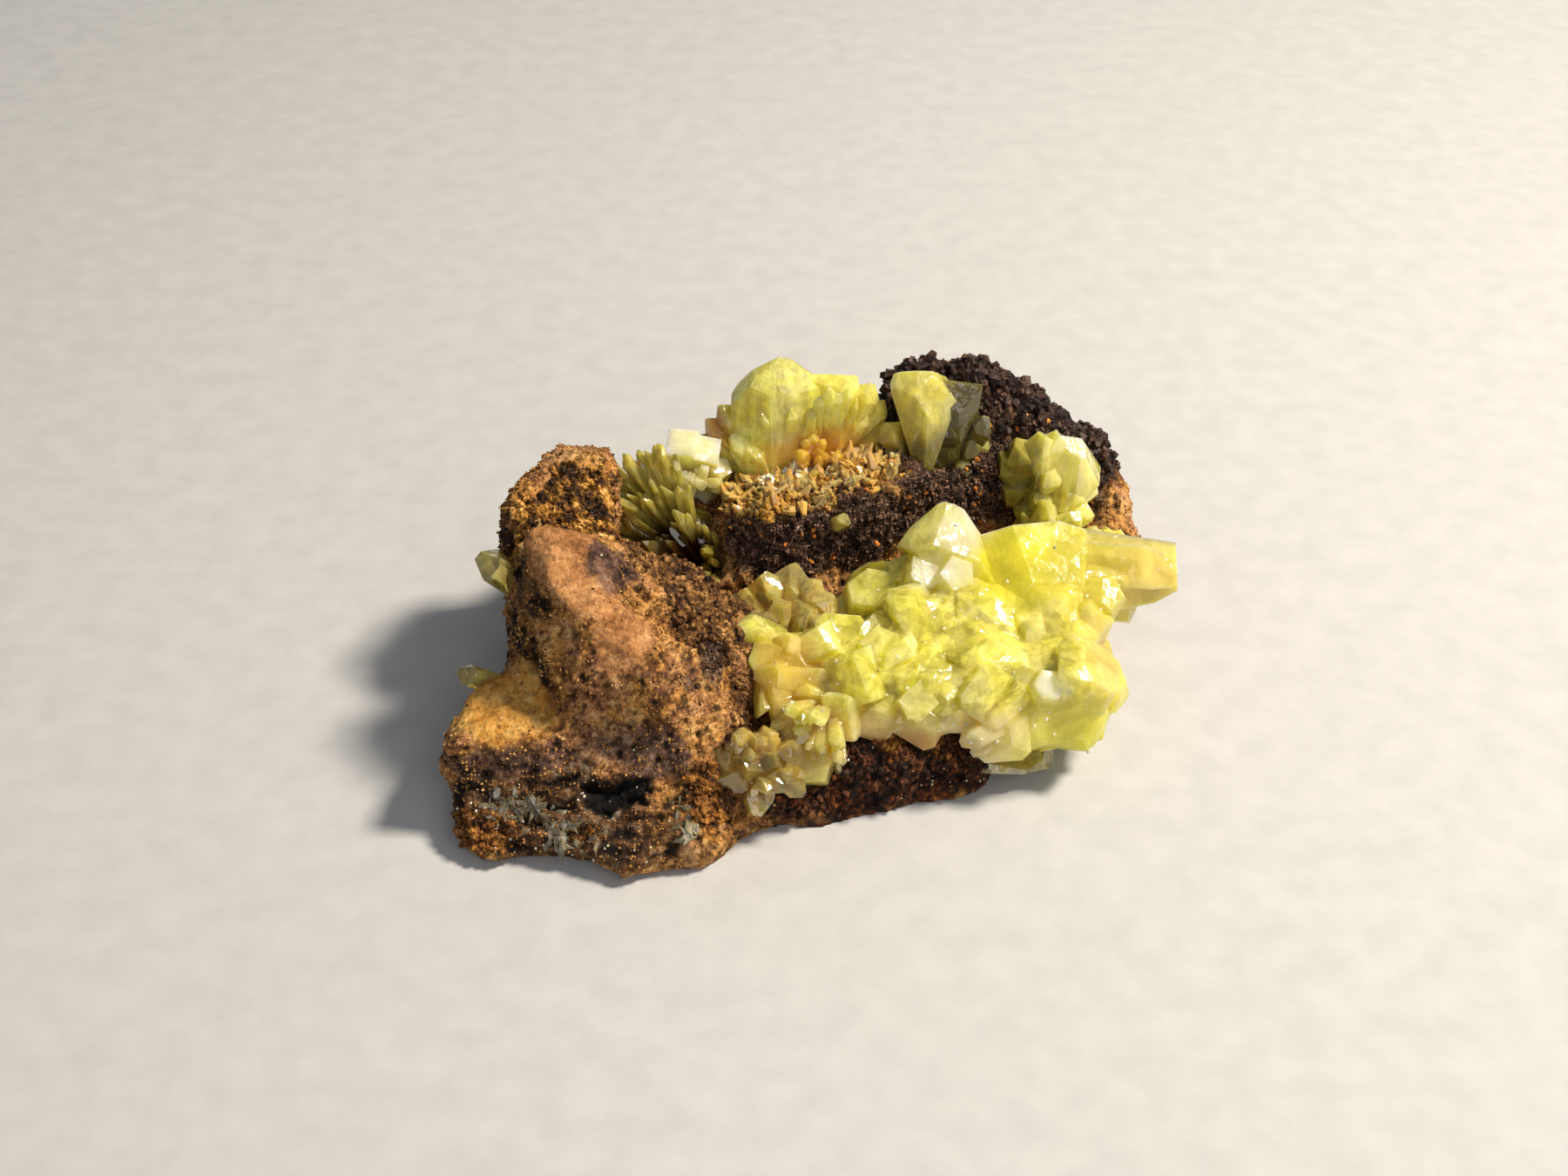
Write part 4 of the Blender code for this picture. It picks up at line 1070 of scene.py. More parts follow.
def adamite(
    name, colours, glassy, body, density, tints=(), depth=3.0, roughness=0.14, gloss=0.5, cell=0.8, tilt=0.16,
    veils=0.16, striae=0.0, cloudy=1.0,
):
    """Adamite. colours run from the clear parts to the veils, and glassy is the share of glass in both.

    body and density are the absorption inside, and depth is how far light scatters in mm. tints are a
    colour, the strength, and the centre and radii of where it belongs. cell and tilt are the width in mm
    and the lean of the small facets. veils and striae say how strong the inner clouds and the growth
    lines along the crystals are, and cloudy how much of the light scatters.
    """
    material, tree = new_material(name)
    place = node(tree, "ShaderNodeTexCoord").outputs["Object"]
    cloud = node(
        tree, "ShaderNodeTexNoise",
        {
            "Vector": place, "Scale": scale_for(CLOUD_WIDTH), "Detail": 5.0, "Roughness": 0.6,
            "Distortion": 0.7,
        },
    )
    clear, dull = glassy
    amount = node(
        tree, "ShaderNodeMapRange",
        {"Value": cloud.outputs["Fac"], "From Min": 0.38, "From Max": 0.64, "To Min": clear, "To Max": dull},
    )
    step = STOP_RANGE / (len(colours) - 1)
    stops = [(FIRST_STOP + step * index, colour) for index, colour in enumerate(colours)]
    colour = node(tree, "ShaderNodeValToRGB", {"Fac": cloud.outputs["Fac"]}, stops=stops).outputs["Color"]
    for width, strength in ((WIDE_VEIL, veils), (NARROW_VEIL, veils * 0.9)):
        cells = node(tree, "ShaderNodeTexVoronoi", {"Vector": place, "Scale": scale_for(width)})
        cells = node(tree, "ShaderNodeSeparateColor", {"Color": cells.outputs["Color"]})
        colour = darken(tree, colour, cells.outputs[0], 1 - strength, 1 + strength * 0.6)
    along = node(tree, "ShaderNodeMapping", {"Vector": place, "Scale": LINE_STRETCH})
    lines = node(
        tree, "ShaderNodeTexNoise",
        {"Vector": along.outputs["Vector"], "Scale": scale_for(LINE_WIDTH), "Detail": 3.0},
    )
    colour = darken(tree, colour, lines.outputs["Fac"], 1 - striae, 1 + striae * 0.5)
    for tint, strength, centre, radii in tints:
        mask = node(
            tree, "ShaderNodeMath", {0: near(tree, place, centre, radii), 1: strength}, operation="MULTIPLY"
        )
        colour = node(
            tree, "ShaderNodeMix", {0: mask.outputs[0], MIX_A: colour, MIX_B: linear(tint)}, data_type="RGBA"
        ).outputs[MIX_OUT]
    ripple = node(
        tree, "ShaderNodeTexNoise", {"Vector": place, "Scale": scale_for(RIPPLE_WIDTH), "Detail": 3.0}
    )
    height = node(
        tree, "ShaderNodeMath", {0: lines.outputs["Fac"], 1: striae * LINE_HEIGHT, 2: ripple.outputs["Fac"]},
        operation="MULTIPLY_ADD",
    )
    shader = node(
        tree, "ShaderNodeBsdfPrincipled",
        {
            "Base Color": colour, "Roughness": roughness, "IOR": ADAMITE_IOR, "Specular IOR Level": gloss,
            "Transmission Weight": amount.outputs["Result"], "Subsurface Weight": cloudy,
            "Subsurface Scale": depth * MM, "Subsurface Radius": GLOW_DEPTHS,
            "Normal": glints(tree, place, cell, tilt, height.outputs[0]),
        },
    )
    inside = node(tree, "ShaderNodeVolumeAbsorption", {"Color": linear(body), "Density": density})
    node(
        tree, "ShaderNodeOutputMaterial",
        {"Surface": shader.outputs["BSDF"], "Volume": inside.outputs["Volume"]},
    )
    return material


# %% [markdown]
# ## Yellow, olive and smoky crystals
# The tall groups at the back are lemon yellow, with amber and brown at their feet where limonite shows
# through. The blades at the left and the dark crystal beside the peak are olive and clearer. The rosettes
# at the bank's left end are the clearest of all, and look smoky because dark rock shows through them.
# The crystals that stand alone and the blade under the bank have that finish too.

# %% Lemon, olive and smoky adamite
lemon = adamite(
    "lemon_adamite", ["#fffba0", "#fff684", "#f6e664"], (0.36, 0.22), "#f8f080", 8.0,
    tints=[
        ("#e2a038", 0.9, (1.8, 9.6, 13.2), (4.8, 2.2, 1.9)),
        ("#b47e32", 0.9, (-7.2, 12.4, 14.0), (1.8, 2.0, 2.0)),
        ("#3c2804", 0.95, (6.8, 10.2, 11.6), (3.0, 2.6, 2.6)),
        ("#5a4c0c", 0.85, (9.2, 9.8, 13.4), (2.4, 2.4, 2.2)),
        ("#b8aa4a", 0.4, (8.2, 12.0, 17.6), (3.0, 2.6, 2.6)),
        ("#d8bc54", 0.4, (5.0, 10.6, 15.4), (2.2, 2.8, 2.8)),
        ("#7d6f10", 0.85, (14.4, 9.6, 11.0), (2.6, 3.4, 4.0)),
        # Partly the blade's own pale colour and partly painted highlight: the rim's bright blade faces the
        # key light.
        ("#f7f2b4", 0.7, (19.6, 9.6, 13.6), (2.6, 3.0, 2.6)),
    ],
    depth=3.0, roughness=0.05, gloss=0.5, veils=0.12, striae=0.34, cloudy=0.8,
)
olive = adamite(
    "olive_adamite", ["#f2e68c", "#dccb66", "#b8a444"], (0.60, 0.34), "#eadc76", 34.0,
    tints=[
        # Painted shade: a dark brown low under the blades stands for the shade between and beneath them.
        ("#422804", 1.0, (-9.0, 6.2, 6.8), (4.6, 3.4, 3.0)),
        ("#4a4426", 0.9, (11.2, 11.6, 14.6), (3.0, 3.4, 5.0)),
    ],
    depth=2.0, roughness=0.05, gloss=0.6, veils=0.16, striae=0.30, cloudy=0.7,
)
smoky = adamite(
    "smoky_adamite", ["#fff0a0", "#fce484", "#e4c45c"], (0.82, 0.50), "#f6da6c", 30.0,
    tints=[("#f6d070", 0.75, (-2.6, -13.4, 5.0), (4.0, 3.4, 3.2))], depth=2.0, roughness=0.05, gloss=0.8,
    tilt=0.34, veils=0.2, striae=0.25, cloudy=0.7,
)
print("made", lemon.name, olive.name, smoky.name)

# %% [markdown]
# ## Pale, honey and milky crystals
# Pure adamite is nearly colourless, so crystals with little copper or iron in them are pale. Iron gives
# the sugar on the terrace its honey colour, and crystals full of tiny bubbles are milky. Light can't go
# deep in small grains, so there it scatters over a tenth of a millimetre or so. The shards low on the
# front are smoky, and most of their body is dull.

# %% Pale, honey, milky and smoky glass adamite
pale = adamite(
    "pale_adamite", ["#faf4a2", "#fbf6c0", "#fffde6"], (0.30, 0.10), "#f6f2b0", 18.0,
    tints=[("#c4b45c", 0.85, (-6.8, 9.4, 11.0), (2.6, 2.2, 1.7))], roughness=0.16, veils=0.06,
)
honey = adamite(
    "honey_adamite", ["#f4e0a0", "#e4bc6a", "#cc9a44"], (0.45, 0.15), "#ecd088", 60.0, depth=0.15,
    roughness=0.12,
)
milky = adamite(
    "milky_adamite", ["#ece4b0", "#f4eecc", "#fffbe8"], (0.12, 0.0), "#f4f2dc", 10.0, depth=0.1,
    roughness=0.12,
)
smoky_glass = adamite(
    "smoky_glass_adamite", ["#8e8468", "#6e644e", "#b4aa8a"], (0.35, 0.10), "#d8cca0", 40.0, depth=0.15,
    roughness=0.10, gloss=0.6,
)
print("made", pale.name, honey.name, milky.name, smoky_glass.name)

# %% [markdown]
# ## The lime of the front bank
# The bank is clouded by its growth layers, so at most two fifths of it is glass, light goes four
# millimetres deep, and the faces are etched a little dull. Where it touches the rock, iron has stained
# it orange and honey, and the largest crystals have yellower ends of their own. The nearly white tints
# on the facets that mirror the key light are painted highlights, a brighter tint on the low boulder is
# partly painted light, and a duller one on the big block's right side is painted shade.

# %% Lime adamite
lime = adamite(
    "lime_adamite", ["#ddd550", "#e8e068", "#f2ea8c"], (0.40, 0.18), "#ece462", 34.0,
    tints=[
        ("#d8b44a", 0.8, (-1.8, -8.6, 8.0), (2.6, 3.0, 3.6)),
        ("#f6d488", 0.8, (2.4, -11.8, 5.0), (5.0, 3.0, 2.6)),
        ("#f8dea4", 0.8, (12.0, -11.6, 5.0), (4.0, 3.0, 2.2)),
        ("#d2862c", 0.75, (6.4, -12.2, 4.7), (4.4, 1.8, 1.1)),
        ("#dcc474", 0.8, (20.4, -6.6, 9.0), (2.6, 5.0, 4.0)),
        ("#dac46c", 0.9, (22.6, 1.0, 10.0), (5.4, 4.4, 3.6)),
        ("#e8e03a", 0.9, (14.0, -1.4, 11.6), (3.4, 2.8, 3.0)),
        # Painted shade: a duller lime damps the right side of the big block, which faces the key light.
        ("#d6cc4e", 0.7, (18.4, -2.0, 11.0), (3.4, 3.6, 3.4)),
        ("#e6c068", 0.8, (-0.4, -11.6, 5.6), (2.6, 2.2, 2.4)),
        # Partly painted light: the low boulder lies in shade and gets a brighter lime for its glow, over its
        # own lime colour.
        ("#e6de48", 0.9, (17.0, -9.6, 4.0), (4.4, 3.6, 3.6)),
        # Painted highlight: the broad facet of the first large crystal, which mirrors the key light, is
        # tinted nearly white.
        ("#e0dab0", 1.0, (10.2, 0.4, 13.7), (1.9, 2.2, 1.3)),
        # Painted highlight: the stub facets beside it, which partly mirror the key light, are tinted pale.
        ("#fbf6ca", 0.9, (8.8, -2.0, 11.9), (2.2, 1.4, 1.1)),
        # Painted highlight: one stub end low at the right faces the key light and is tinted nearly white.
        ("#fffad0", 0.9, (15.7, -9.8, 8.5), (1.2, 0.9, 1.1)),
    ],
    depth=4.2, roughness=0.20, gloss=0.35, tilt=0.16, striae=0.14, cloudy=0.85,
)
print("made", lime.name)

# %% [markdown]
# ## The front bank
# The biggest group is a bank of cloudy lime crystals that radiate from a spine. Its mass is the CAD
# shape, shrunk a little, so that the crystals that are set on it end where the CAD shape does. The two
# largest crystals come first, sawn facet by facet, because their broad faces are what is seen first.

# %% Large crystals of the bank
PALE_FACET = (0.16, -0.53, 0.833)

bank = Group(seed=11)
bank.core("adamite_front_bank", 0.75, sink=0.45, ceiling=11.4)
bank.block(
    (8.6, 0.8, 11.0), 8.0,
    [
        ((8.26, -1.12, 13.59), PALE_FACET), ((8.68, 2.0, 14.73), (-0.61, -0.2, 0.77)),
        ((8.68, 2.0, 14.73), (-0.44, 0.80, 0.25)), ((8.68, 2.0, 14.73), (0.35, 0.90, 0.1)),
        ((6.82, 1.49, 13.12), (-0.71, 0.30, 0.40)), ((5.98, 0.67, 12.24), (-0.60, -0.56, -0.50)),
        ((11.3, 1.44, 13.38), (0.80, -0.10, 0.52)), ((8.26, -1.12, 13.59), (-0.15, -0.97, 0.1)),
    ],
)
bank.block(
    (15.6, -1.6, 10.0), 10.0,
    [
        ((14.9, -2.8, 11.7), (-0.42, -0.60, 0.68)), ((14.9, -2.8, 11.7), (0.12, -0.52, 0.85)),
        ((14.9, -2.8, 11.7), (0.12, -0.93, 0.36)), ((10.9, -0.4, 12.0), (-0.9, -0.35, 0.3)),
        ((13.2, 0.6, 13.8), (-0.15, 0.85, 0.55)), ((17.6, 1.0, 13.8), (0.25, 0.85, 0.4)),
        ((18.4, -0.6, 13.0), (0.93, -0.25, 0.28)), ((17.6, -4.0, 10.6), (0.75, -0.62, 0.0)),
    ],
)
print("two large crystals on a core of", len(bank.ground), "faces")

# %% [markdown]
# ## Middle-sized crystals of the bank
# Between the large crystals others show only a flat end or a roof. The flat ends are stubs, turned so
# that each catches the light in its own way, and the long ones with roofs lie along the bank's edge.
# A heart low at the right adds to the mass, because the crystals there need something to stand on.

# %% Middle-sized crystals of the bank
bank.stub((7.9, -1.7, 11.9), (0.20, -0.52, 0.83), 1.35, 2.2, 4.0, sides=5, spin=30)
bank.stub((9.9, -2.5, 12.2), (0.22, -0.58, 0.78), 1.25, 2.0, 4.0, sides=5, spin=75)
bank.stub((6.2, -0.3, 10.9), (-0.30, -0.44, 0.84), 1.1, 2.2, 3.6, sides=5, spin=10)
bank.stub((4.2, -1.2, 10.0), (-0.12, -0.44, 0.89), 1.5, 2.5, 3.6, sides=6, spin=25, stretch=1.2)
bank.heart((16.6, -6.8, 4.9), (4.3, 3.7, 4.6), detail=1)
bank.stub((15.6, -9.9, 8.7), (0.20, -0.56, 0.80), 1.1, 1.6, 3.0, sides=6, spin=12)
bank.stub((7.0, -10.9, 8.1), (0.12, -0.72, 0.68), 1.35, 1.9, 4.0, sides=4, spin=80, stretch=1.1)
bank.stub((6.8, -11.2, 7.9), (0.04, -0.68, 0.73), 0.95, 1.15, 3.0, sides=6, spin=20)
bank.crystal((15.0, -9.4, 6.8), (9.8, -11.6, 5.0), 1.8, 1.4, roll=25, roof=50)
bank.crystal((14.6, -9.2, 5.6), (10.6, -11.4, 3.9), 1.6, 1.2, roll=60, roof=46)
bank.crystal((14.2, -9.6, 7.6), (11.2, -11.2, 6.2), 1.4, 1.2, roll=10, roof=46)
bank.crystal((1.6, -8.2, 7.6), (-3.8, -8.9, 8.7), 2.2, 1.7, roll=30, roof=52, hip=60)
bank.crystal((1.2, -8.6, 6.6), (-3.4, -9.9, 7.4), 1.7, 1.3, roll=10, roof=54, hip=62)
bank.crystal((1.8, -7.0, 8.2), (-2.6, -6.6, 9.6), 2.0, 1.6, roll=50, roof=44, hip=54)
bank.stub((2.4, -6.6, 9.4), (0.48, -0.36, 0.80), 1.2, 2.1, 3.4, sides=5, spin=50)
bank.stub((4.6, -7.4, 10.0), (0.05, -0.55, 0.83), 1.4, 2.6, 3.4, sides=5, spin=5)
print(len(bank.shells), "shells so far")

# %% [markdown]
# ## The prong
# At the right end two stout crystals lie side by side and stick out over the floor, with three smaller
# ones at their foot. They are blocks as well, because their flat ends are cut nearly square.

# %% Prong at the right end
bank.block(
    (21.0, 0.4, 10.2), 9.0,
    [
        ((21.6, 0.9, 12.4), (0.02, -0.36, 0.93)), ((22.8, -1.0, 10.9), (0.46, -0.62, 0.64)),
        ((22.0, -1.5, 9.8), (-0.10, -0.90, 0.42)), ((24.3, 0.4, 11.0), (0.97, 0.05, 0.24)),
        ((22.0, 0.3, 9.2), (-0.04, -0.45, -0.89)), ((21.0, 0.9, 11.0), (0.05, 0.98, 0.2)),
    ],
)
bank.block(
    (21.2, 0.2, 8.6), 8.6,
    [
        ((24.4, 0.4, 11.1), (0.10, -0.30, 0.95)), ((25.2, 0.3, 10.0), (0.98, -0.12, 0.14)),
        ((23.0, -1.1, 9.2), (0.20, -0.94, 0.28)), ((24.6, 0.3, 8.6), (0.45, -0.30, -0.84)),
        ((22.0, 0.3, 8.0), (0.12, -0.25, -0.96)), ((21.0, 1.6, 9.0), (0.05, 0.98, -0.2)),
    ],
)
bank.crystal((16.5, 0.2, 8.1), (22.6, -0.3, 7.7), 2.6, 2.0, roll=-12, roof=26, hip=34)
bank.crystal((17.0, -1.6, 9.4), (21.2, -2.8, 10.4), 2.6, 2.2, roll=30, roof=30)
bank.crystal((17.0, -3.0, 8.2), (20.2, -4.4, 9.6), 3.2, 2.6, roll=60, roof=36)
print(len(bank.shells), "shells with the prong")

# %% [markdown]
# ## Paving the bank
# What is left of the mass is paved with crystals in four sizes, from large to small. Each size only
# takes the room that the larger ones have left, as in nature, and leans more freely than the last. The
# places of the crystals that were given one by one are marked as taken first. A last spray bristles at
# the left end.

# %% Paving and fusing the bank
bank.taken = [
    (Vector((8.6, 0.6, 12.4)), 4.6), (Vector((15.4, -0.6, 12.4)), 5.2), (Vector((16.6, -8.4, 4.8)), 4.0),
    (Vector((7.0, -11.0, 8.0)), 1.6), (Vector((22.0, 0.0, 10.0)), 4.4), (Vector((-1.8, -9.0, 8.4)), 2.0),
    (Vector((15.5, 4.0, 11.0)), 4.0), (Vector((9.0, 4.0, 11.0)), 3.2),
]
bank.pave(spacing=2.6, width=3.7, proud=0.8, tilt=0.14, depth=3.0, lowest=0.25)
bank.pave(spacing=1.6, width=2.4, proud=0.95, tilt=0.24, depth=2.4, lowest=0.0)
bank.pave(spacing=1.05, width=1.4, proud=1.0, tilt=0.36, depth=1.8, lowest=-0.2)
bank.pave(spacing=0.7, width=0.85, proud=1.1, tilt=0.45, depth=1.4, lowest=0.1)
for _ in range(60):
    bank.spray((1.4, -9.0, 6.6), 246, -8, 4.9, 0.85, jitter=34)
front_bank = bank.fused("front_bank")
finish_piece(front_bank, lime, ["adamite_front_bank"])

# %% [markdown]
# ## Painted glints
# The glints on the bank are painted: about a hundred tiny chips of pale, milky adamite lie on it and
# stay white from every side. They are pale and milky, because clear ones would only show what lies
# under them.

# %% Painted glints on the bank
painted_glint_chips = [master(4, 0.42, 0.5, 21), master(5, 0.40, 0.6, 22), master(3, 0.36, 0.5, 23)]
bank_faces = [(face.center / MM - DRAWN_ABOUT, face.normal) for face in front_bank.data.polygons]
bank_areas = [face.area if face.normal.z > -0.1 else 0.0 for face in front_bank.data.polygons]
scatter(
    "bank_painted_glints", painted_glint_chips, bank_faces, bank_areas, 120, (0.12, 0.34), 0.35, milky,
    seed=91,
)

# %% [markdown]
# ## The rosette behind the bank
# Behind the bank's left end a rosette of smoky crystals lies on the rock. All of its crystals start from
# one root inside a heart, so their tips and widths are all that is chosen, and the dice do the rest.

# %% Bank edge group
edge_group = Group(seed=23)
edge_group.heart((-2.2, -1.4, 6.4), (3.2, 1.8, 2.2))
for tip, width in (
    ((-1.2, 0.2, 11.0), 3.0), ((0.5, -0.8, 10.4), 2.6), ((1.6, -2.0, 9.7), 2.4), ((-3.2, -0.4, 10.6), 2.6),
    ((-4.8, -0.8, 9.4), 2.4), ((-2.2, -2.8, 9.8), 2.6), ((0.2, -3.0, 9.5), 2.4), ((-4.4, -2.6, 8.8), 2.2),
    ((-6.0, -1.2, 8.8), 1.8), ((1.0, -3.8, 9.0), 1.8), ((-3.4, -3.8, 9.0), 1.8),
):
    edge_group.crystal(
        (-2.0, -1.2, 5.8), tip, width, width * 0.72, roll=edge_group.random.uniform(0, 180),
        roof=edge_group.random.uniform(36, 50), hip=edge_group.random.uniform(50, 62),
    )
finish_piece(edge_group.fused("bank_edge_group"), smoky, ["adamite_bank_edge_group"])

# %% [markdown]
# ## The rosette at the low corner
# A second rosette hangs from the bank's low corner. It is rounder than the first one, so its crystals are
# given by direction and length, and sixteen thin ones fill the gaps between them.

# %% Low corner group
corner_group = Group(seed=31)
corner_group.heart((-3.2, -12.8, 4.8), (2.4, 1.7, 2.1))
for azimuth, elevation, length, width in (
    (228, 2, 4.0, 2.5), (262, -24, 4.2, 2.4), (290, 4, 3.6, 2.4), (318, -20, 3.6, 2.0), (250, 36, 3.6, 2.4),
    (298, 42, 3.4, 2.0), (196, 24, 3.6, 2.2), (214, 56, 3.4, 1.9), (244, -50, 3.8, 2.0), (278, 66, 3.4, 1.8),
):
    corner_group.spray((-3.2, -12.8, 4.8), azimuth, elevation, length, width)
for _ in range(16):
    corner_group.spray((-3.0, -12.6, 4.8), 258, 20, 3.7, 1.1, jitter=62)
finish_piece(corner_group.fused("low_corner_group"), smoky, ["adamite_low_corner_group"])

# %% [markdown]
# ## The fan at the back
# The fan is the tallest group, and a parallel growth: two broad crystals with ribs of slender ones around
# and before them. The broad ones are blocks sawn along planes, which places every facet exactly. The
# slender ones come from the crystal function, and a spray of short ones hides where they start.

# %% Broad crystals of the fan
fan = Group(seed=41)
fan.heart((-1.4, 11.8, 11.2), (4.4, 1.8, 2.2))
fan.block(
    (-2.2, 12.2, 14.2), 12.0,
    [
        ((-5.6, 12, 15.0), (-1, 0, 0.03)), ((-4.6, 12.4, 17.6), (-0.79, -0.1, 0.61)),
        ((-2.7, 12.8, 19.3), (-0.55, -0.05, 0.83)), ((-0.6, 12.8, 18.8), (0.68, -0.05, 0.74)),
        ((0.9, 12, 16.0), (1, 0, 0.06)), ((-4.9, 12, 11.6), (-0.80, 0, -0.60)),
        ((0.6, 12, 12.4), (0.93, 0, -0.35)), ((-3.4, 10.5, 14.0), (-0.30, -0.93, 0.20)),
        ((-2.0, 10.3, 14.0), (0.03, -0.97, 0.22)), ((-0.4, 10.6, 14.0), (0.34, -0.91, 0.22)),
        ((-2.6, 10.8, 17.2), (-0.12, -0.80, 0.59)), ((-1.2, 10.9, 17.2), (0.22, -0.74, 0.64)),
        ((-2.0, 13.2, 19.4), (0, 0.75, 0.66)), ((-2.2, 14.0, 14.0), (0, 0.98, 0.20)),
        ((-2.2, 13.6, 11.0), (0, 0.80, -0.60)), ((-5.0, 13.4, 15.0), (-0.60, 0.80, 0)),
        ((0.4, 13.4, 15.0), (0.60, 0.80, 0)),
    ],
)
fan.block(
    (2.2, 12.2, 13.2), 10.0,
    [
        ((2.4, 12.6, 18.0), (0.10, -0.3, 1)), ((3.6, 12, 17.2), (0.97, 0, 0.2)),
        ((3.0, 12, 13.4), (0.92, 0, -0.40)), ((0.4, 12, 13.0), (-0.9, 0, -0.3)),
        ((1.6, 10.9, 15.0), (-0.35, -0.90, 0.24)), ((2.9, 11.0, 15.0), (0.42, -0.88, 0.2)),
        ((2.0, 13.2, 17.6), (0, 0.9, 0.45)), ((2.2, 13.8, 14.0), (0.20, 0.98, 0.10)),
        ((2.2, 13.4, 11.0), (0, 0.80, -0.60)),
    ],
)
print("the fan has", len(fan.shells), "broad shells")

# %% [markdown]
# ## Slender crystals of the fan
# Ten side crystals, all of them lower than the broad ones, spread to the right and left. Twelve thin
# ribs stand close together before the broad ones, at uneven heights, as in any parallel growth.

# %% Slender crystals of the fan
for root, tip, width, thick, roll in (
    ((1.2, 11.8, 10.6), (4.5, 12.6, 17.6), 1.9, 1.5, 10),
    ((1.6, 11.8, 10.6), (5.3, 12.6, 16.2), 1.7, 1.3, 40),
    ((1.6, 11.4, 10.4), (5.9, 12.0, 14.6), 1.5, 1.2, 22),
    ((1.2, 11.2, 10.6), (3.9, 11.6, 16.0), 1.5, 1.2, 30),
    ((1.4, 11.0, 10.4), (4.8, 11.2, 13.6), 1.4, 1.2, 15),
    ((-2.6, 11.6, 10.6), (-6.4, 12.6, 15.8), 1.9, 1.4, -20),
    ((-3.0, 11.6, 10.4), (-7.4, 12.6, 14.6), 1.7, 1.3, -34),
    ((-3.2, 11.6, 10.2), (-7.9, 12.4, 13.2), 1.5, 1.2, 0),
    ((-2.6, 11.0, 10.4), (-5.6, 11.0, 14.2), 1.6, 1.3, 28),
    ((-2.0, 10.8, 10.4), (-4.4, 10.4, 13.6), 1.5, 1.2, 50),
):
    fan.crystal(root, tip, width, thick, roll=roll, roof=50, hip=62)
for across, height in (
    (0.7, 17.8), (1.3, 18.4), (1.9, 17.9), (2.5, 18.3), (3.1, 17.4), (3.7, 17.8), (-3.9, 15.0), (-3.0, 16.2),
    (-2.1, 15.2), (-1.2, 16.6), (-0.4, 15.4), (0.2, 16.8),
):
    fan.crystal(
        (across * 0.6, 11.4, 11.0), (across * 1.1, 10.6 + 0.12 * abs(across), height), 0.85, 0.8,
        roll=fan.random.uniform(0, 90), roof=56, hip=66,
    )
for _ in range(48):
    fan.spray((0.3, 11.2, 10.4), 274, 58, 4.4, 0.8, jitter=40)
finish_piece(fan.fused("back_fan"), lemon, ["adamite_back_fan"])

# %% [markdown]
# ## The peak
# One crystal stands free at the right of the fan. It widens upwards from a narrow foot to a blunt roof,
# which a block that is sawn along planes gives exactly. Seven small ones stand around its foot.

# %% Peak group
peak = Group(seed=53)
peak.heart((8.9, 11.8, 11.0), (2.0, 1.7, 2.8))
peak.block(
    (8.2, 12.2, 14.6), 9.5,
    [
        ((5.9, 11.5, 17.6), (-0.90, -0.1, 0.42)), ((6.7, 11.8, 18.7), (-0.42, -0.1, 0.9)),
        ((8.1, 11.8, 18.9), (0.05, -0.1, 1)), ((9.5, 11.8, 17.9), (0.74, 0, 0.67)),
        ((10.0, 11.5, 15.4), (0.95, -0.1, -0.32)), ((6.9, 11.5, 14.3), (-0.94, 0, -0.34)),
        ((8.3, 9.8, 16.0), (-0.45, -0.84, 0.30)), ((8.3, 9.8, 16.0), (0.52, -0.82, 0.24)),
        ((7.6, 11.0, 17.8), (-0.24, -0.66, 0.71)), ((9.0, 11.0, 17.4), (0.16, -0.70, 0.69)),
        ((8.0, 12.3, 18.8), (0, 0.72, 0.7)), ((8.2, 14.2, 14.0), (0, 0.97, 0.20)),
        ((9.6, 13.6, 15.0), (0.70, 0.70, 0)), ((6.6, 13.6, 15.0), (-0.70, 0.70, 0)),
        ((8.2, 13.6, 11.5), (0, 0.80, -0.60)),
    ],
)
for root, tip, width, thick, roll in (
    ((9.6, 11.2, 9.6), (12.7, 11.6, 14.4), 2.0, 1.6, 12),
    ((9.0, 11.0, 9.6), (5.3, 11.4, 15.0), 2.0, 1.5, -16),
    ((9.0, 10.8, 9.4), (5.6, 10.6, 13.4), 1.8, 1.4, 20),
    ((9.0, 10.6, 9.4), (6.6, 9.9, 12.8), 1.7, 1.3, 40),
    ((9.2, 10.6, 9.4), (8.4, 9.4, 12.4), 1.6, 1.3, 0),
    ((9.4, 10.8, 9.6), (11.4, 10.0, 13.0), 1.6, 1.3, 25),
    ((9.0, 11.0, 9.4), (5.0, 11.4, 12.2), 1.7, 1.3, 25),
):
    peak.crystal(root, tip, width, thick, roll=roll, roof=46, hip=58)
finish_piece(peak.fused("peak_group"), lemon, ["adamite_peak_group"])

# %% [markdown]
# ## The dark crystal beside the peak
# A dark olive crystal leans against the peak's right side, in its shade, with three smaller ones beside
# it. They are a piece of their own, because they have another finish, and a group can have only one.

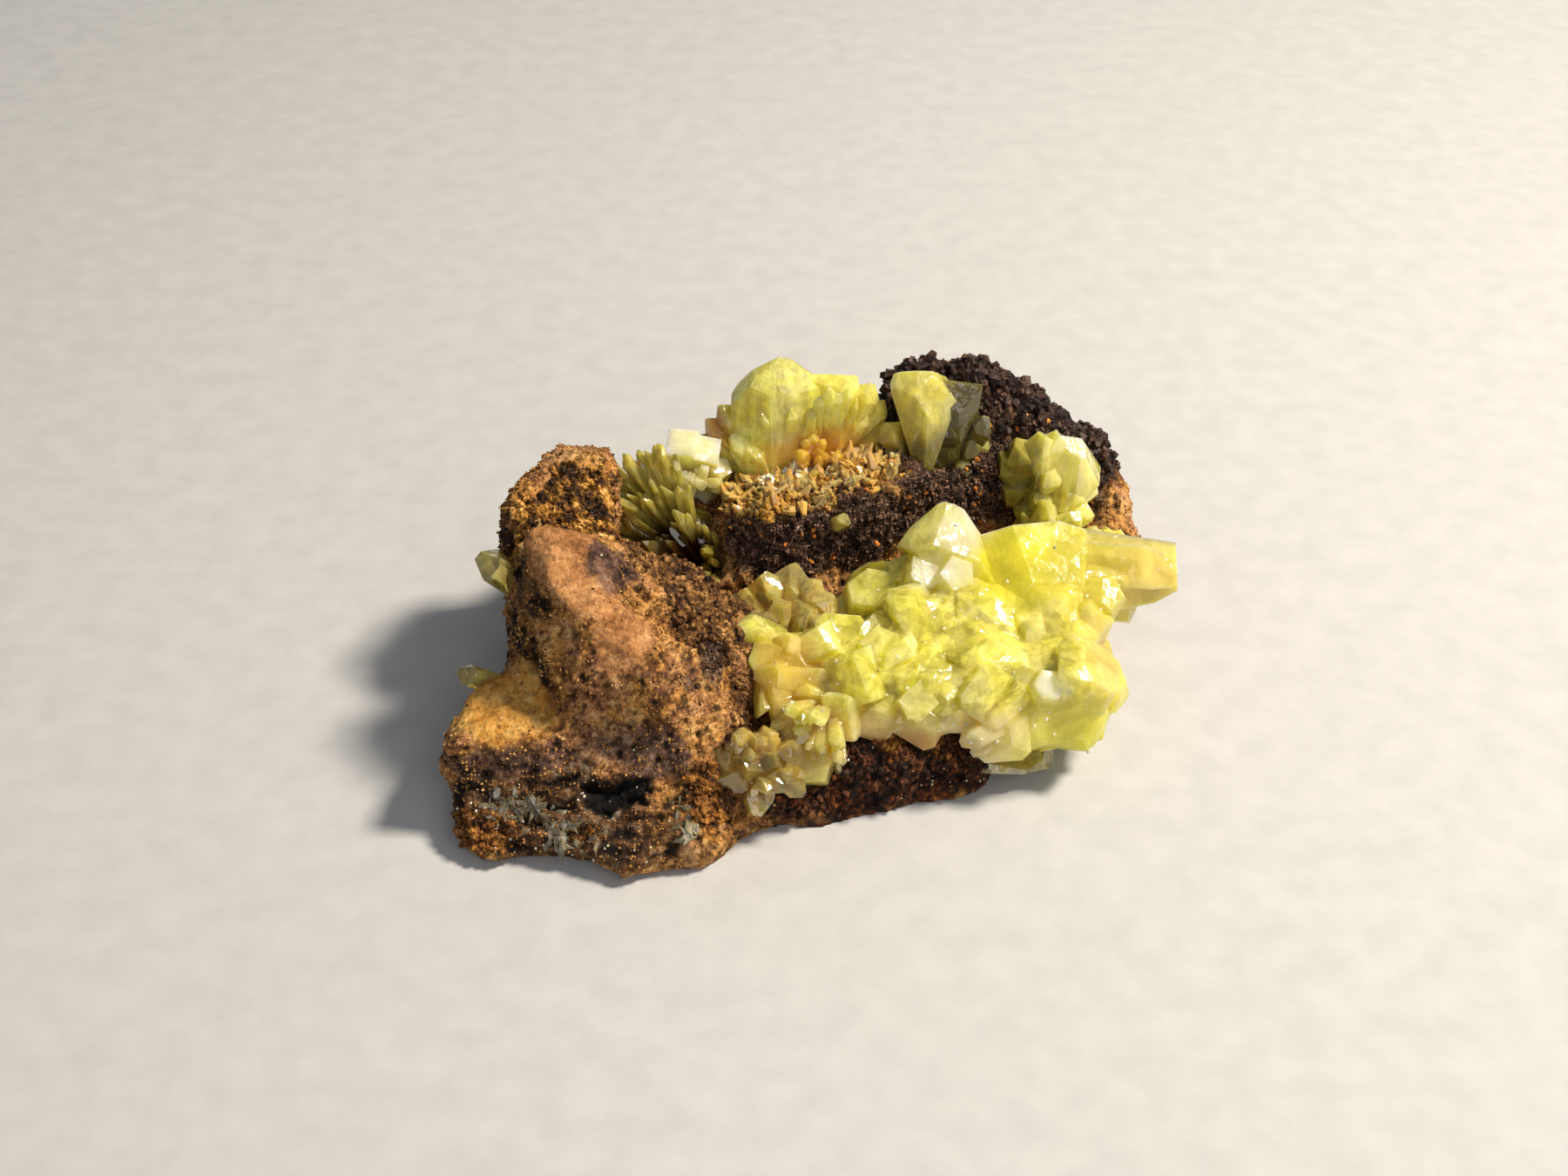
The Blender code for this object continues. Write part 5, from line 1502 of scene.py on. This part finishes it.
# %% Dark peak crystals
dark_peak = Group(seed=57)
dark_peak.block(
    (10.8, 12.6, 14.0), 8.0,
    [
        ((10.8, 12, 17.7), (0.25, -0.1, 1)), ((12.1, 12, 16.0), (0.98, -0.1, -0.1)),
        ((11.5, 12, 13.2), (0.8, 0, -0.6)), ((10.9, 10.7, 15.0), (0.55, -0.80, 0.22)),
        ((10.4, 10.6, 15.0), (-0.2, -0.96, 0.2)), ((8.9, 12, 14.0), (-1, 0, -0.2)),
        ((10.6, 11.4, 16.8), (0.15, -0.7, 0.7)), ((10.0, 13.0, 17.0), (0, 0.85, 0.5)),
        ((10.8, 14.0, 14.0), (0.20, 0.97, 0.10)), ((10.8, 13.4, 11.5), (0, 0.80, -0.60)),
    ],
)
for root, tip, width in (
    ((10.4, 11.4, 10.2), (12.6, 11.4, 15.6), 1.9), ((10.2, 11.2, 10.0), (11.6, 10.4, 14.2), 1.7),
    ((10.0, 11.4, 10.4), (9.9, 10.9, 15.4), 1.8),
):
    dark_peak.crystal(root, tip, width, width * 0.75, roll=dark_peak.random.uniform(0, 90))
finish_piece(dark_peak.fused("dark_peak_crystals"), olive)

# %% [markdown]
# ## The ball on the rim
# A ball of blunt crystals sits on the dark rim, with small pyramids at its feet. The crystals are turned
# at random and their roofs differ in slope, so that some faces catch the light while others stay dark.

# %% Rim group
rim = Group(seed=61)
rim.heart((16.9, 11.2, 8.8), (2.6, 1.7, 2.2))
rim.block(
    (18.6, 10.4, 10.8), 8.0,
    [
        ((18.8, 9.8, 13.9), (0.25, -0.45, 0.86)), ((17.2, 10.0, 12.6), (-0.85, -0.45, 0.3)),
        ((20.4, 10.2, 12.0), (0.90, -0.1, 0.42)), ((19.4, 9.0, 11.6), (0.40, -0.90, 0.15)),
        ((18.0, 9.1, 11.0), (-0.30, -0.93, 0.2)), ((20.2, 10.0, 10.0), (0.75, -0.2, -0.62)),
        ((18.6, 11.4, 12.6), (0, 0.9, 0.4)), ((18.6, 12.4, 9.0), (0, 0.80, -0.60)),
    ],
)
for tip, width in (
    ((13.9, 10.4, 13.2), 2.6), ((14.9, 10.2, 14.3), 3.0), ((16.3, 10.0, 14.9), 2.9),
    ((17.4, 10.2, 15.0), 2.4), ((14.1, 9.4, 11.0), 2.4), ((15.4, 9.0, 12.4), 2.6),
    ((16.9, 8.9, 13.0), 2.4), ((14.8, 8.4, 9.8), 2.0), ((16.2, 8.0, 10.8), 2.1),
    ((20.6, 9.6, 10.4), 2.2), ((19.6, 8.4, 10.2), 2.2), ((20.4, 8.2, 9.0), 1.9),
):
    rim.crystal(
        (16.9, 10.9, 8.6), tip, width, width * 0.75, roll=rim.random.uniform(0, 180),
        roof=rim.random.uniform(44, 56), hip=rim.random.uniform(56, 66), lean=rim.random.uniform(-0.6, 0.6),
    )
rim.stub((16.6, 7.6, 11.0), (-0.08, -0.30, 0.95), 0.08, 2.1, 3.0, sides=4, spin=50)
rim.stub((19.0, 7.0, 10.0), (0.30, -0.40, 0.86), 0.55, 1.7, 3.0, sides=4, spin=20)
rim.stub((15.2, 7.6, 9.8), (-0.30, -0.40, 0.86), 0.1, 1.5, 2.6, sides=4, spin=10)
finish_piece(rim.fused("rim_group"), lemon, ["adamite_rim_group"])

# %% [markdown]
# ## The foot of the right end
# Below the rim, where the stone slopes down to the right, a low cushion of pointed crystals fills the
# corner. Four of them have a chosen tip, and a ring of eight is given by directions only.

# %% Foot group
foot = Group(seed=67)
foot.heart((20.6, 7.0, 5.8), (2.6, 1.6, 2.2))
for tip, width in (
    ((21.4, 5.9, 9.6), 2.0), ((19.9, 5.8, 9.8), 1.8), ((22.4, 6.4, 8.6), 1.8), ((20.6, 5.2, 8.6), 1.6)
):
    foot.crystal((20.6, 7.0, 5.4), tip, width, width * 0.8, roll=foot.random.uniform(0, 180))
for azimuth, elevation in (
    (235, 60), (280, 48), (330, 50), (10, 34), (200, 46), (310, 74), (260, 74), (350, 64)
):
    foot.spray((20.4, 6.8, 5.4), azimuth, elevation, 4.1, 1.9)
finish_piece(foot.fused("foot_group"), lemon, ["adamite_foot_group"])

# %% [markdown]
# ## Olive blades
# Between the lump and the terrace olive blades spread like the ribs of a fan from a few common roots.
# Each layer of blades has its own direction, range of slopes and range of lengths, and the blades are
# half as thick as they are wide.

# %% Left spray
spray = Group(seed=71)
spray.heart((-8.4, 9.0, 7.0), (2.4, 1.5, 2.2))
for root, azimuth, steep, lengths, count in (
    ((-8.0, 8.6, 5.2), 170, (34, 82), (8.2, 10.4), 24), ((-7.8, 7.4, 5.0), 176, (24, 84), (6.2, 8.8), 24),
    ((-7.2, 6.4, 4.8), 184, (18, 84), (4.6, 7.2), 18), ((-6.8, 7.0, 5.0), 262, (26, 80), (4.0, 6.0), 10),
):
    for turn in range(count):
        elevation = steep[0] + (steep[1] - steep[0]) * (turn + spray.random.uniform(-0.7, 0.7)) / count
        way = heading(azimuth + spray.random.uniform(-10, 10), elevation)
        wide = spray.random.uniform(0.6, 1.15)
        reach = spray.random.uniform(*lengths)
        spray.crystal(
            root, Vector(root) + way * reach, wide, wide * 0.5,
            roll=spray.random.uniform(-70, 70), roof=60, hip=66, lean=spray.random.uniform(-0.9, 0.9),
        )
finish_piece(spray.fused("left_spray"), olive, ["adamite_left_spray"])

# %% [markdown]
# ## Pale blocks
# Behind the blades stand two pale, squarish crystals and a smaller one. Their flat ends are turned
# towards the light, so they are stubs with four or five sides, with a spray of small crystals at their
# foot.

# %% Pale blocks
blocks = Group(seed=79)
blocks.heart((-8.0, 11.6, 10.4), (2.3, 1.5, 2.0))
blocks.stub((-9.1, 10.5, 14.0), (-0.12, -0.40, 0.91), 1.5, 1.9, 4.6, sides=4, spin=50)
blocks.stub((-7.3, 10.2, 13.6), (0.22, -0.54, 0.81), 1.35, 1.7, 4.2, sides=4, spin=20)
blocks.stub((-6.3, 10.0, 12.2), (0.42, -0.40, 0.81), 0.9, 1.5, 3.2, sides=5, spin=0)
for _ in range(14):
    blocks.spray((-7.8, 10.8, 10.4), 270, 48, 3.0, 1.0, jitter=46)
finish_piece(blocks.fused("pale_blocks"), pale, ["adamite_pale_blocks"])

# %% [markdown]
# ## Sugar on the terrace
# Honey-coloured crystals less than a millimetre wide cover the terrace, with some white ones on a ledge
# of it, and milky specks on the rougher rock are painted glints. They are too many to place by hand, so
# they are scattered over their zones like the crumbs.

# %% Sugar on the terrace
honey_points = [master(4, 0.10, 1.3, 31), master(5, 0.16, 1.1, 32), master(6, 0.12, 1.5, 33)]
scatter(
    "terrace_sugar", honey_points, rock_places, zones["druse"] ** 2, 620, (0.35, 0.95), 0.55, honey,
    seed=92,
)
white_ledge = zone([((-1.8, 8.8, 12.6), (2.8, 1.2, 1.4))], torn=0.5)
scatter(
    "white_sugar", honey_points, rock_places, white_ledge * facing_up, 70, (0.35, 1.0), 0.6, milky,
    seed=93,
)
# Painted glints: milky specks that stay white from every side.
painted_glint_weight = zones["glassy"] + 0.7 * zones["crumbly"] + 0.4 * zones["slab"] + 0.04
scatter(
    "rock_painted_glints", painted_glint_chips, rock_places, painted_glint_weight * clear_of_floor, 300, (0.06, 0.24), 0.7, milky,
    seed=94,
)

# %% [markdown]
# ## Glassy shards
# Low on the broken front, splinters of smoky crystal lie in the limonite. They are flat and long, so the
# masters are stretched, and they lean very little from the surface that they lie on.

# %% Glassy shards in the foot
shards = [master(4, 0.30, 0.30, 41, 2.4), master(5, 0.34, 0.24, 42, 1.8), master(4, 0.40, 0.20, 43, 3.0)]
streaks = zone(
    [
        ((-20.0, -15.4, 3.2), (1.6, 1.2, 0.9)), ((-15.6, -17.2, 2.2), (2.6, 1.2, 0.8)),
        ((-8.0, -17.2, 3.4), (0.9, 1.0, 1.6)), ((-17.6, -15.6, 3.0), (2.4, 0.8, 0.6)),
    ],
    torn=0.5,
)
scatter(
    "foot_shards", shards, rock_places, streaks, 110, (0.25, 0.7), 0.2, smoky_glass, seed=95
)

# %% [markdown]
# ## Single crystals
# A few crystals stand alone: one on the dark cliff and two on the left flank. A group of one still
# passes through the same steps as the large groups, so one loop makes all three.

# %% Single crystals
for name, root, tip, width, thick, roll in (
    ("ridge_crystal", (2.5, 6.4, 9.4), (2.0, 3.9, 11.9), 1.4, 1.0, 30),
    ("edge_crystal", (-18.6, 0.6, 7.6), (-22.8, 0.8, 11.2), 2.4, 2.0, 20),
    ("ledge_crystal", (-20.6, -6.4, 5.4), (-23.6, -7.0, 7.4), 1.7, 1.5, 35),
):
    alone = Group(seed=1)
    alone.crystal(root, tip, width, thick, roll=roll)
    finish_piece(alone.fused(name), smoky, ["adamite_" + name])

# %% [markdown]
# ## The blade under the bank
# Below the bank a smoky blade looks out just above the floor. It is a block that is sawn down to a low
# wedge, with a nearly level top and an underside of two planes.

# %% Under blade
under_blade = Group(seed=3)
under_blade.block(
    (11.0, -8.8, 2.0), 11.0,
    [
        ((11.0, -9.5, 2.6), (0.05, -0.30, 0.95)), ((11.0, -10.6, 1.9), (-0.08, -0.85, 0.5)),
        ((11.0, -10.5, 1.5), (0.0, -0.45, -0.9)), ((11.0, -7.0, 1.2), (0.1, 0.5, -0.86)),
        ((11.0, -7.0, 3.0), (0.1, 0.9, 0.3)), ((15.9, -9.2, 2.2), (0.88, -0.35, 0.3)),
        ((15.4, -10.2, 1.9), (0.55, -0.80, 0.0)), ((8.6, -9.0, 2.0), (-1, 0, 0)),
    ],
)
finish_piece(under_blade.fused("under_blade"), smoky, ["adamite_under_blade"])

# %% Sizes
sizes = {
    "cad": [list(corner) for corner in cad_box],
    "visual": [list(corner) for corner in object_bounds()],
}
for name, box in sizes.items():
    print(name, "box in mm:", [[round(value / MM, 2) for value in corner] for corner in box])
